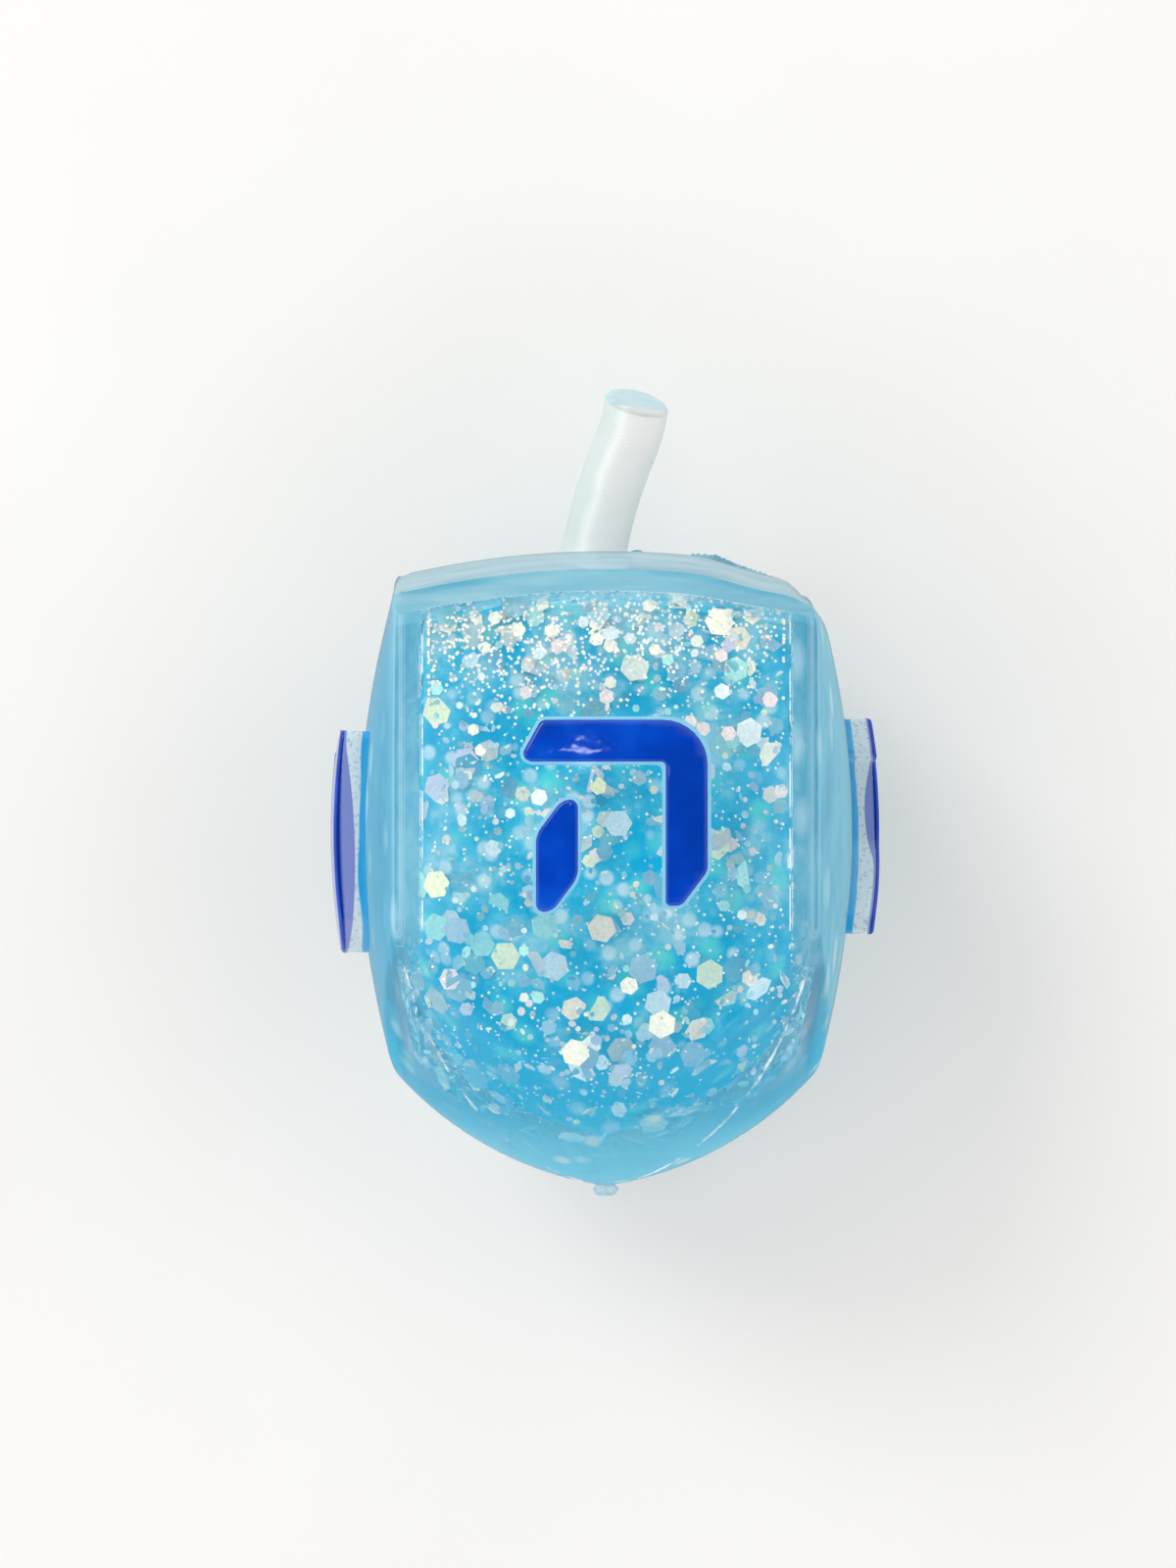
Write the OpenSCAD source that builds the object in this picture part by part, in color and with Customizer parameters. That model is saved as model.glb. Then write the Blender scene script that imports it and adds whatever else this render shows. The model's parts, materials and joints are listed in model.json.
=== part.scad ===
// Soft see-through dreidel with a gel and glitter filling, lying on its back face.
// It is drawn upright about its spin axis, with the middle of the square faces at z = 0,
// and then laid down: stem towards +Y, front face towards +Z, table at Z = 0.

/* [Body] */
// Half width of the square body, at its upright edges
edge_half = 20.8; // [17.4:0.1:25]
// How far each face swells past the edges at its middle
bulge = 4.3; // [3:0.1:5.5]
// Distance above and below the middle at which the swelling runs out
bulge_half = 26.4; // [22:0.1:32]
// Depth of the tip below the middle of the faces
tip_depth = 36.1; // [34:0.1:44]
// Depth at which the upright edges run out into the rounded tip
edge_low = 9; // [6:0.1:12]
// Slope of the rounded tip where it meets the axis, in degrees
tip_slope = 8.6; // [5:0.1:14]
// Height of the domed top above the middle of the faces
dome_top = 28.6; // [25:0.1:35]
// Radius of the domed top
dome_r = 90; // [75:1:120]
// Thickness of the moulded shell
wall = 2.5; // [2:0.1:3]
// Thickness of the domed top cap
cap_t = 2; // [1.6:0.1:2.6]
// Film of glue between the shell's rim and the cap
glue = 0.05; // [0.03:0.01:0.1]

/* [Letters] */
// Width of a letter's stroke
stroke = 4.35; // [3.4:0.05:5.3]
// Height of the clear reliefs above the face's highest point
relief = 2.6; // [1.8:0.1:3.2]
// Radius of the gently domed relief tops
relief_r = 72; // [55:1:100]
// Clear border that shows round the paint
rim = 0.3; // [0.1:0.05:0.5]
// Thickness of the paint on the reliefs
paint_t = 0.3; // [0.2:0.05:0.5]
// How far the body's weight flattens the letter that it lies on
flattened = 0.5; // [0.3:0.05:0.8]

/* [Stem] */
// Diameter of the soft stem
stem_d = 6.6; // [5.5:0.1:8]
// Length of the stem's lower bend
stem_low = 9; // [7:0.5:12]
// Length of the stem's upper bend
stem_high = 5.6; // [4:0.1:8]
// Lean of the stem at its foot, in degrees
stem_lean = 12; // [0:1:20]
// Extra lean gained along the lower bend, in degrees
lean_more = 11; // [4:1:20]
// Lean lost again along the upper bend, in degrees
lean_less = 16; // [4:1:24]
// Tilt of the stem towards the front, in degrees
stem_tilt = 4; // [0:1:10]
// Slant of the stem's cut end, in degrees
end_slant = 14; // [0:1:25]
// Distance of the stem's foot from the spin axis
foot_x = -0.8; // [-2:0.1:2]
// Height of the foot's centre above the cap
foot_up = 1.9; // [1.8:0.05:2.4]
// Gap between the stem's foot and its seat
foot_gap = 0.08; // [0.05:0.01:0.1]

/* [Filling] */
// Diameter of the plug in the filling hole
plug_d = 2.4; // [1.8:0.1:3.2]
// How far the plug's nub stands out of the tip
nub = 1.1; // [0.6:0.1:1.6]
// Film between the gel and what is round it
gel_gap = 0.1; // [0.05:0.01:0.2]
// Width of the large glitter flakes, across their corners
flake_large = 3; // [2:0.1:3.4]
// Width of the medium glitter flakes, across their corners
flake_medium = 1.6; // [1:0.1:2]
// Thickness of the flakes
flake_t = 0.15; // [0.1:0.05:0.3]

/* [Hidden] */
$fn = 96;

cols = 12;         // columns of facets across one face
tip_rings = 8;     // rings of facets over the rounded tip
side_rings = 12;   // rings of facets up a face
dome_rings = 5;    // rings of facets over the top

face_high = edge_half + bulge;                // highest point of a face above the axis
relief_high = face_high + relief;             // highest point of a relief
rest_h = relief_high + paint_t - flattened;   // height of the spin axis above the table

// The tip's profile is one arc that passes the tip and the lower ends of the edges
corner_r = edge_half * sqrt(2);
drop = tip_depth - edge_low;
arc_r = (corner_r * corner_r + drop * drop) / (2 * (drop * cos(tip_slope) - corner_r * sin(tip_slope)));
arc_x = -arc_r * sin(tip_slope);
arc_z = arc_r * cos(tip_slope) - tip_depth;

// Swollen face: distance from the axis at place u across it and height z, for half width h
function face_w(h, u, z) =
  h + bulge * (1 - u * u / (h * h)) * max(0, 1 - z * z / (bulge_half * bulge_half));
function reach(h, u, z) = norm([u, face_w(h, u, z)]);

// Rounded tip and domed top, t inside their outer surfaces
function tip_z(r, t) = arc_z - sqrt(pow(arc_r - t, 2) - pow(r - arc_x, 2));
function tip_reach(z, t) = arc_x + sqrt(max(0, pow(arc_r - t, 2) - pow(z - arc_z, 2)));
function dome_z(r, t) = dome_top - dome_r + sqrt(pow(dome_r - t, 2) - r * r);

// Height at which a column of the face runs into the tip, found by halving
function low_z(h, t, u, a = -tip_depth, b = arc_z, n = 24) =
  let (m = (a + b) / 2)
  n == 0 ? m
  : tip_reach(m, t) > reach(h, u, m) ? low_z(h, t, u, a, m, n - 1)
  : low_z(h, t, u, m, b, n - 1);

// Height at which a column of the face runs into the top
function high_z(h, t, u, z = 0, n = 10) =
  n == 0 ? z : high_z(h, t, u, dome_z(reach(h, u, z), t), n - 1);

// One ring of points, face by face; each point is f times as far out as the face
function turned(p, k) = [p.x * cos(90 * k) - p.y * sin(90 * k), p.x * sin(90 * k) + p.y * cos(90 * k), p.z];
function across(h) = [for (i = [0:cols - 1]) h * (2 * i / cols - 1)];
function ring_at(h, zs, f = 1) = [
  for (k = [0:3], i = [0:cols - 1])
    let (u = across(h)[i])
    turned([f * u, -f * face_w(h, u, zs[i]), zs[i]], k)
];

// Rings over the tip, up the faces and over the top
function tip_part(h, t) = let (zs = [for (u = across(h)) low_z(h, t, u)]) [
  for (j = [1:tip_rings])
    let (f = j / tip_rings)
    [for (p = ring_at(h, zs, f)) [p.x, p.y, tip_z(norm([p.x, p.y]), t)]]
];
function side_part(h, from, to) = [
  for (j = [1:side_rings])
    let (f = j / side_rings)
    ring_at(h, [for (i = [0:cols - 1]) from[i] + f * (to[i] - from[i])])
];
function top_part(h, t) = let (zs = [for (u = across(h)) high_z(h, t, u)]) [
  for (j = [1:dome_rings - 1])
    let (f = 1 - j / dome_rings)
    [for (p = ring_at(h, zs, f)) [p.x, p.y, dome_z(norm([p.x, p.y]), t)]]
];
function backwards(list) = [for (i = [len(list) - 1:-1:0]) list[i]];

// Closed skin over a stack of rings, with a point at each end
module skin(first, rings, last) {
  n = len(rings[0]);
  m = len(rings);
  function at(j, i) = 1 + j * n + i % n;
  end = 1 + m * n;
  polyhedron(
    points = concat([first], [for (r = rings) each r], [last]),
    faces = concat(
      [for (i = [0:n - 1]) [0, at(0, i), at(0, i + 1)]],
      [for (j = [0:m - 2], i = [0:n - 1]) [at(j, i), at(j + 1, i + 1), at(j, i + 1)]],
      [for (j = [0:m - 2], i = [0:n - 1]) [at(j, i), at(j + 1, i), at(j + 1, i + 1)]],
      [for (i = [0:n - 1]) [end, at(m - 1, i + 1), at(m - 1, i)]]
    )
  );
}

// Solid of the body's form: faces of half width h, tip and top t and s inside the outer ones
module filled_body(h, t, s) {
  lows = [for (u = across(h)) low_z(h, t, u)];
  highs = [for (u = across(h)) high_z(h, s, u)];
  skin([0, 0, tip_z(0, t)], concat(tip_part(h, t), side_part(h, lows, highs), top_part(h, s)),
    [0, 0, dome_z(0, s)]);
}

module lay_down() {
  translate([0, 0, rest_h]) rotate([-90, 0, 0]) children();
}

// Puts a drawing on face k: x runs right, y up and z outwards from the spin axis
module on_face(k) {
  rotate([0, 0, 90 * k]) rotate([90, 0, 0]) children();
}

FRONT = 0;
RIGHT = 1;
BACK = 2;
LEFT = 3;

/* Letters: each outline is a list of corners [x, y, radius] in millimetres on the face */

corner = 0.8;           // radius of a stroke's corners
bend = 4.4;             // radius of a letter's outer bends
cut = 0.8 * stroke;     // how far a stroke's end slants

function unit(v) = v / norm(v);

// Points of an outline whose corner p, between the corners a and b, is an arc that takes
// less than half of the shorter stretch beside it
most_of_stretch = 0.48;
function corner_arc(a, p, b, n = 5) =
  let (
    xy = [p.x, p.y],
    to_a = [a.x, a.y] - xy,
    to_b = [b.x, b.y] - xy,
    half = acos(unit(to_a) * unit(to_b)) / 2,
    taken = min(p.z / tan(half), most_of_stretch * min(norm(to_a), norm(to_b))),
    r = taken * tan(half),
    middle = xy + unit(unit(to_a) + unit(to_b)) * r / sin(half),
    from = xy + unit(to_a) * taken - middle,
    to = xy + unit(to_b) * taken - middle
  )
  [for (i = [0:n]) middle + r * unit(from * (n - i) / n + to * i / n)];

module outline(corners) {
  n = len(corners);
  polygon([for (i = [0:n - 1]) each corner_arc(corners[(i + n - 1) % n], corners[i], corners[(i + 1) % n])]);
}

// Left end and upper edge of a bar whose top is at high
function bar_end(x, high) = [
  [x + 0.15 * stroke, high - stroke, corner], [x, high - cut, corner], [x + 0.45 * stroke, high, corner]
];

// Slanted foot of a leg whose right side is at x
function leg_foot(x, low) = [
  [x, low + cut, corner], [x - 0.6 * stroke, low, corner], [x - stroke, low, corner]
];

// Slanted top of an upright whose left side is at x
function upright_top(x, high) = [
  [x, high - cut, corner], [x + 0.6 * stroke, high, corner], [x + stroke, high, corner]
];

// Front letter: bar and right leg, with a short separate leg at the left
module he() {
  outline(concat(
    bar_end(-8.4, 11.3), [[10, 11.3, bend]], leg_foot(10, -7.1), [[10 - stroke, 11.3 - stroke, corner]]
  ));
  outline(concat(upright_top(-7, 3.5), leg_foot(-7 + stroke, -7.7)));
}

// Right letter: short bar and leg, with a foot that reaches to the lower left
module gimel() {
  outline(concat(
    bar_end(-3.2, 11.6), [[5.2, 11.6, bend]], leg_foot(5.2, -10.3),
    [[5.2 - stroke, -10.3 + 0.75 * stroke, 0.3], [-6.2 + 0.6 * stroke, -10.3, corner], [-6.2, -10.3, corner],
      [-6.2, -10.3 + 0.5 * stroke, corner], [5.2 - stroke, -10.3 + 2.1 * stroke, corner],
      [5.2 - stroke, 11.6 - stroke, corner]]
  ));
}

// Back letter: leg with a bar at its top and another at its foot
module nun() {
  outline(concat(
    bar_end(-3.6, 10),
    [[5.4, 10, bend], [5.4, -10, bend], [-6.4, -10, corner], [-5.2, -10 + stroke, corner],
      [5.4 - stroke, -10 + stroke, corner], [5.4 - stroke, 10 - stroke, corner]]
  ));
}

// Left letter: three uprights that rise from one base
module shin() {
  outline(concat(
    upright_top(-10, 10.3),
    [[-10 + stroke, -12.2 + stroke, corner], [-3.4, -12.2 + stroke, corner]],
    upright_top(-stroke / 2, 8.3),
    [[1.4, -12.2 + stroke, corner], [10 - stroke, -12.2 + stroke, corner]],
    upright_top(10 - stroke, 10.3),
    [[10, -12.2, bend], [-10, -12.2, bend]]
  ));
}

letter_half = 10;   // half extent of a letter, where the face is lowest under it
root_w = (face_high - wall + face_w(edge_half, letter_half, letter_half)) / 2;

// Room under the gently domed top of a letter, the height w above the axis, flattened at the back
module under_top(w, grown, k) {
  intersection() {
    translate([0, 0, relief_high - relief_r]) sphere(r = relief_r + grown);
    if (k == BACK) translate([0, 0, w / 2]) cube([6 * bend, 6 * bend, w], center = true);
  }
}

// Clear relief that carries the letter, rooted in the shell's wall
module relief_on(k) {
  on_face(k) intersection() {
    translate([0, 0, root_w]) linear_extrude(relief_high) children();
    under_top(rest_h - paint_t, 0, k);
  }
}

// Paint on top of the relief
module paint_on(k) {
  on_face(k) difference() {
    intersection() {
      translate([0, 0, root_w]) linear_extrude(relief_high) offset(delta = -rim) children();
      under_top(rest_h, paint_t, k);
    }
    under_top(rest_h - paint_t, 0, k);
  }
}

/* Shell, cap, stem and plug */

inner_half = edge_half - wall;
plug_gap = 0.05;
plug_low = -tip_depth - nub;
plug_high = tip_z(0, wall) - gel_gap;

module shell() {
  lows = [for (u = across(edge_half)) low_z(edge_half, 0, u)];
  highs = [for (u = across(edge_half)) high_z(edge_half, cap_t, u)];
  in_lows = [for (u = across(inner_half)) low_z(inner_half, wall, u)];
  in_highs = [for (u = across(inner_half)) high_z(inner_half, cap_t, u)];
  rings = concat(
    tip_part(edge_half, 0), side_part(edge_half, lows, highs),
    [ring_at(inner_half, in_highs)], side_part(inner_half, in_highs, in_lows),
    backwards([for (j = [0:tip_rings - 2]) tip_part(inner_half, wall)[j]])
  );
  color([0.72, 0.88, 0.97, 0.5]) lay_down() difference() {
    union() {
      skin([0, 0, tip_z(0, 0)], rings, [0, 0, tip_z(0, wall)]);
      relief_on(FRONT) he();
      relief_on(RIGHT) gimel();
      relief_on(BACK) nun();
      relief_on(LEFT) shin();
    }
    translate([0, 0, plug_low]) cylinder(d = plug_d + 2 * plug_gap, h = plug_high - plug_low + 1);
  }
}

foot_r = stem_d / 2 + 0.2;     // the foot is a ball just wider than the stem
foot_z = dome_top + foot_up;
boss_d = 9.6;                  // thick place under the cap that holds the foot's seat
boss_low = dome_top - cap_t - 1.4;

module top_cap() {
  under = cap_t - glue;
  lows = [for (u = across(edge_half)) high_z(edge_half, under, u)];
  in_lows = [for (u = across(inner_half)) high_z(inner_half, under, u)];
  highs = [for (u = across(edge_half)) high_z(edge_half, 0, u)];
  color([0.78, 0.91, 0.98, 0.5]) lay_down() difference() {
    union() {
      skin([0, 0, dome_z(0, under)],
        concat(backwards(top_part(edge_half, under)), [ring_at(inner_half, in_lows)],
          [ring_at(edge_half, lows)], [ring_at(edge_half, highs)], top_part(edge_half, 0)),
        [0, 0, dome_z(0, 0)]);
      translate([foot_x, 0, boss_low]) cylinder(d = boss_d, h = dome_top - boss_low - cap_t / 2);
    }
    translate([foot_x, 0, foot_z]) sphere(r = foot_r + foot_gap);
  }
}

low_r = stem_low / (lean_more * PI / 180);
high_r = stem_high / (lean_less * PI / 180);
stem_sides = 28;
stem_rings = 14;

// Centre line of the stem at the length l from the foot's centre: x, z and the lean gained
function bent(r, a) = [r * (1 - cos(a)), r * sin(a)];
function centre_line(l) =
  l <= stem_low ? let (a = lean_more * l / stem_low) concat(bent(low_r, a), a)
  : let (
      p = bent(low_r, lean_more),
      a = lean_less * (l - stem_low) / stem_high,
      q = bent(high_r, a)
    )
    [p[0] - q[0] * cos(lean_more) + q[1] * sin(lean_more),
      p[1] + q[0] * sin(lean_more) + q[1] * cos(lean_more), lean_more - a];

// Ring of the stem at the length l, cut on a slant
function stem_ring(l, slant) = let (c = centre_line(l)) [
  for (i = [0:stem_sides - 1])
    let (f = 360 * i / stem_sides, u = stem_d / 2 * cos(f), v = stem_d / 2 * sin(f), w = v * tan(slant))
    [c[0] + u * cos(c[2]) + w * sin(c[2]), v, c[1] - u * sin(c[2]) + w * cos(c[2])]
];

module stem() {
  stem_l = stem_low + stem_high;
  tip = centre_line(stem_l);
  color([0.9, 0.94, 0.95, 0.8]) lay_down()
  translate([foot_x, 0, foot_z]) rotate([stem_tilt, stem_lean, 0]) {
    sphere(r = foot_r);
    skin([0, 0, 0],
      [for (j = [0:stem_rings]) stem_ring(stem_l * j / stem_rings, j == stem_rings ? end_slant : 0)],
      [tip[0], 0, tip[1]]);
  }
}

module filler_plug() {
  color([0.85, 0.93, 0.97, 0.7]) lay_down() {
    translate([0, 0, plug_low + 0.3]) cylinder(d = plug_d, h = plug_high - plug_low - 0.3);
    translate([0, 0, plug_low]) cylinder(d1 = plug_d - 0.6, d2 = plug_d, h = 0.3);
  }
}

/* Gel and glitter: the flakes lie in layers under the faces and round the tip */

gel_half = inner_half - gel_gap;
row_gap = 6;        // distance between the rows of large flakes
edge_room = 4.5;    // distance of the outer flakes' middles from the side of the gel
shake = rands(-1, 1, 900, 19);

// Half width of the gel's face at height z, and distance of its surface from the axis at place u
gel_tip = wall + gel_gap;
function gel_side(z) = min(gel_half, sqrt(max(0, pow(tip_reach(z, gel_tip), 2) - gel_half * gel_half)));
function gel_w(u, z) = min(face_w(gel_half, u, z), sqrt(max(0, pow(tip_reach(z, gel_tip), 2) - u * u)));

// Places of the flakes: face, place across, height, depth under the gel's surface and three tilts
large_places = [
  for (k = [0:3], row = [-3:3], i = [-1.5:1:1.5])
    let (n = 5 * (28 * k + 4 * (row + 3) + i + 1.5), z = row_gap * (row + 0.25 * pow(-1, k)) + shake[n + 1])
    [k, (gel_side(z) - edge_room) * i / 1.5 + shake[n], z, 2.4 + 0.6 * shake[n + 2],
      25 * shake[n + 3], 25 * shake[n + 4]]
];
medium_places = [
  for (k = [0:3], row = [-3:2], i = [-1:1])
    let (
      n = 5 * (18 * k + 3 * (row + 3) + i + 1),
      z = row_gap * (row + 0.5 + 0.25 * pow(-1, k)) + 0.5 * shake[n + 4]
    )
    [k, (gel_side(z) - edge_room) * 2 / 3 * i + 0.5 * shake[n + 3], z, 2 + 0.8 * shake[n],
      40 * shake[n + 1], 40 * shake[n + 2]]
];

// Places round the tip: slope of the surface there, turn about the spin axis, depth and two tilts
tip_places = [
  for (row = [[42, 14], [27, 8]], i = [0:row[1] - 1])
    let (n = 600 + 5 * (row[1] + i))
    [row[0] + shake[n], 360 / row[1] * (i + 0.2 * shake[n + 1]), 2.2 + 0.6 * shake[n + 2],
      25 * shake[n + 3], 25 * shake[n + 4]]
];

module flake(d, grown) {
  rotate([0, 0, 15]) translate([0, 0, -flake_t / 2 - grown])
    cylinder(d = d + 2 * grown, h = flake_t + 2 * grown, $fn = 6);
}

module flakes(places, d, grown = 0) {
  for (p = places)
    on_face(p[0]) translate([p[1], p[2], gel_w(p[1], p[2]) - p[3]]) rotate([p[4], p[5], 0])
      flake(d, grown);
}

module tip_flakes(grown = 0) {
  for (p = tip_places)
    let (r = arc_r - gel_tip - p[2])
    rotate([0, 0, p[1]]) translate([arc_x + r * sin(p[0]), 0, arc_z - r * cos(p[0])])
      rotate([0, 180 - p[0], 0]) rotate([p[3], p[4], 0]) flake(flake_large, grown);
}

pocket = 0.04;      // room round a flake in the gel

module gel() {
  color([0.12, 0.6, 0.86, 0.9]) lay_down() difference() {
    filled_body(gel_half, gel_tip, cap_t + gel_gap);
    translate([foot_x, 0, boss_low - gel_gap]) cylinder(d = boss_d + 2 * gel_gap, h = dome_top - boss_low);
    flakes(large_places, flake_large, pocket);
    tip_flakes(pocket);
    flakes(medium_places, flake_medium, pocket);
  }
}

module glitter_large() {
  color([0.86, 0.9, 0.88]) lay_down() {
    flakes(large_places, flake_large);
    tip_flakes();
  }
}

module glitter_medium() {
  color([0.8, 0.85, 0.95]) lay_down() flakes(medium_places, flake_medium);
}

module letter_he() {
  color([0.04, 0.24, 0.78]) lay_down() paint_on(FRONT) he();
}

module letter_shin() {
  color([0.04, 0.24, 0.78]) lay_down() paint_on(LEFT) shin();
}

module letter_gimel() {
  color([0.04, 0.24, 0.78]) lay_down() paint_on(RIGHT) gimel();
}

module letter_nun() {
  color([0.04, 0.24, 0.78]) lay_down() paint_on(BACK) nun();
}

shell();
top_cap();
stem();
filler_plug();
gel();
glitter_large();
glitter_medium();
letter_he();
letter_shin();
letter_gimel();
letter_nun();
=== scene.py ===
import json
import math
import random

import bmesh
import bpy
from mathutils import Euler, Matrix, Vector
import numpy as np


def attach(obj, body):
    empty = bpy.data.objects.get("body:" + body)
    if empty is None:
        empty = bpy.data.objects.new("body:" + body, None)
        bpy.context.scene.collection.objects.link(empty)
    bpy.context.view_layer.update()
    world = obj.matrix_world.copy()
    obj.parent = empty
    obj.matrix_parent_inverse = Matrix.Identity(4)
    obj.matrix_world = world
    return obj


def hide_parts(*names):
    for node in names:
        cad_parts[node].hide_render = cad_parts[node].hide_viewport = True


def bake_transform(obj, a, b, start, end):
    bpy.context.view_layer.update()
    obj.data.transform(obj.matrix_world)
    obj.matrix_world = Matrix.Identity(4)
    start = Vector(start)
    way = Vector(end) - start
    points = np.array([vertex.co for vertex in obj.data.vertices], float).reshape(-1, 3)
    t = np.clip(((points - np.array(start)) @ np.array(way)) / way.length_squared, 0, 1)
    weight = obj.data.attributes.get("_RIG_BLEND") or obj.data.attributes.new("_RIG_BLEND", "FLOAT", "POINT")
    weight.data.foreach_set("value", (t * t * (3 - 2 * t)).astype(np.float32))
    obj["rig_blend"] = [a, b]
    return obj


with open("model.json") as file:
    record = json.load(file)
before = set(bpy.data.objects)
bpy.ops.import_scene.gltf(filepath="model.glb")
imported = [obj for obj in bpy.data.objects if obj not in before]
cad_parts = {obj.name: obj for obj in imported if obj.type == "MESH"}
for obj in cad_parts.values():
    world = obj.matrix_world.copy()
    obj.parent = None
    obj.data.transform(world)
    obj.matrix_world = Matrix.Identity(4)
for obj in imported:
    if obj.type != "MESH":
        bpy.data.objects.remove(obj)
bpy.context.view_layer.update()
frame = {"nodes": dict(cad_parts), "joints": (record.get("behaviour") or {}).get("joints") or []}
print("frame loaded:", len(frame["nodes"]), "nodes")

mm = 0.001
stemFoot = Vector(frame["joints"][0]["pos_m"])
axisHeight = stemFoot.z  # the spin axis lies this high above the table
layDown = Matrix.Translation((0, 0, axisHeight)) @ Matrix.Rotation(math.radians(-90), 4, "X")

# how the photograph sees the toy: its frame, scale and the place of the spin axis in it
photo = {"width": 1200, "height": 1600, "pixelsPerMm": 10.0, "axisX": 618, "middleY": 849,
         "distance": 600 * mm}
cameraX = (photo["width"] / 2 - photo["axisX"]) / photo["pixelsPerMm"] * mm
cameraY = (photo["middleY"] - photo["height"] / 2) / photo["pixelsPerMm"] * mm


def fromPhoto(px, py, out):
    # place across and up the front face, for a pixel of the photograph and a distance from the spin axis
    scale = (photo["distance"] - out) / photo["distance"] / photo["pixelsPerMm"] * mm
    return cameraX + (px - photo["width"] / 2) * scale, cameraY - (py - photo["height"] / 2) * scale


def linearOf(hexText, alpha=1.0):
    # sRGB hex to the linear values that Blender works in
    parts = [int(hexText[i:i + 2], 16) / 255 for i in (1, 3, 5)]
    return [v / 12.92 if v <= 0.04045 else ((v + 0.055) / 1.055) ** 2.4 for v in parts] + [alpha]


def addNode(tree, kind, settings=None, links=None):
    # names with a small first letter are the node's own properties, the rest are its sockets
    made = tree.nodes.new("ShaderNode" + kind)
    for key, value in (settings or {}).items():
        if isinstance(key, str) and key[0].islower():
            setattr(made, key, value)
        else:
            made.inputs[key].default_value = value
    for key, source in (links or {}).items():
        socket = source if isinstance(source, bpy.types.NodeSocket) else source.outputs[0]
        tree.links.new(socket, made.inputs[key])
    return made


soft = {"interpolation_type": "SMOOTHSTEP"}  # for a range without a hard start and end


def newMaterial(name):
    made = bpy.data.materials.new(name)
    made.use_nodes = True
    made.node_tree.nodes.clear()
    return made, made.node_tree


def outputLit(tree, shader):
    # clear rubber, gel and thin film hardly shade what lies behind them, so only the eye's rays meet them
    eyeRay = addNode(tree, "LightPath").outputs["Is Camera Ray"]
    passed = addNode(tree, "BsdfTransparent")
    whole = addNode(tree, "MixShader", links={0: eyeRay, 1: passed, 2: shader})
    addNode(tree, "OutputMaterial", links={0: whole})


def setStops(ramp, stops):
    while len(ramp.elements) < len(stops):
        ramp.elements.new(0.5)
    for element, (place, hexText) in zip(ramp.elements, stops):
        element.position = place
        element.color = linearOf(hexText)


def makePiece(name, bm, materials, rides="body", replaces=(), smooth=True):
    mesh = bpy.data.meshes.new(name)
    bm.to_mesh(mesh)
    bm.free()
    piece = bpy.data.objects.new(name, mesh)
    bpy.context.scene.collection.objects.link(piece)
    for material in materials:
        mesh.materials.append(material)
    if smooth:
        mesh.shade_smooth()
        mesh.set_sharp_from_angle(angle=math.radians(50))
    if rides:
        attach(piece, rides)
    if replaces:
        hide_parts(*replaces)
    return piece


# camera
cameraData = bpy.data.cameras.new("camera")
cameraData.sensor_width = 36
cameraData.lens = 36 * photo["distance"] / (photo["height"] / photo["pixelsPerMm"] * mm)
camera = bpy.data.objects.new("camera", cameraData)
camera.location = (cameraX, cameraY, axisHeight + photo["distance"])
bpy.context.scene.collection.objects.link(camera)
bpy.context.scene.camera = camera
bpy.context.scene.view_settings.view_transform = "Standard"

# the body's form, upright about its spin axis
body = {
    "edgeHalf": 20.8 * mm,
    "bulge": 4.3 * mm,
    "bulgeHalf": 26.4 * mm,
    "tipDepth": 36.1 * mm,
    "edgeLow": 9 * mm,
    "tipSlope": math.radians(8.6),
    "domeTop": 28.6 * mm,
    "domeRadius": 90 * mm,
    "wall": 2.5 * mm,
    "cap": 2 * mm,
    "glue": 0.05 * mm,
    "gelGap": 0.1 * mm,
    "shellRounding": 0.55 * mm,
    "capRounding": 0.6 * mm,
    "gelRounding": 0.3 * mm,
}
innerHalf = body["edgeHalf"] - body["wall"]

# the rounded tip's profile is one arc through the tip and the lower ends of the upright edges
cornerReach = body["edgeHalf"] * math.sqrt(2)
dropToTip = body["tipDepth"] - body["edgeLow"]
arcRadius = (cornerReach ** 2 + dropToTip ** 2) / (
    2 * (dropToTip * math.cos(body["tipSlope"]) - cornerReach * math.sin(body["tipSlope"])))
arcX = -arcRadius * math.sin(body["tipSlope"])
arcZ = arcRadius * math.cos(body["tipSlope"]) - body["tipDepth"]


def faceOut(half, u, z, bulge=body["bulge"]):
    swell = max(0.0, 1 - (z / body["bulgeHalf"]) ** 2)
    return half + bulge * (1 - (u / half) ** 2) * swell


def tipHeight(reach, inside):
    return arcZ - math.sqrt(max(0.0, (arcRadius - inside) ** 2 - (reach - arcX) ** 2))


def tipReach(z, inside):
    return arcX + math.sqrt(max(0.0, (arcRadius - inside) ** 2 - (z - arcZ) ** 2))


def domeHeight(reach, inside):
    return body["domeTop"] - body["domeRadius"] + math.sqrt((body["domeRadius"] - inside) ** 2 - reach ** 2)


def lowEnd(half, inside, u, bulge=body["bulge"]):
    # where a column of the face runs into the tip, found by halving
    low, high = -body["tipDepth"], arcZ
    for _ in range(26):
        middle = (low + high) / 2
        if tipReach(middle, inside) > math.hypot(u, faceOut(half, u, middle, bulge)):
            high = middle
        else:
            low = middle
    return middle


def domeEnd(half, inside, u, bulge=body["bulge"]):
    z = 0.0
    for _ in range(10):
        z = domeHeight(math.hypot(u, faceOut(half, u, z, bulge)), inside)
    return z


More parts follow.
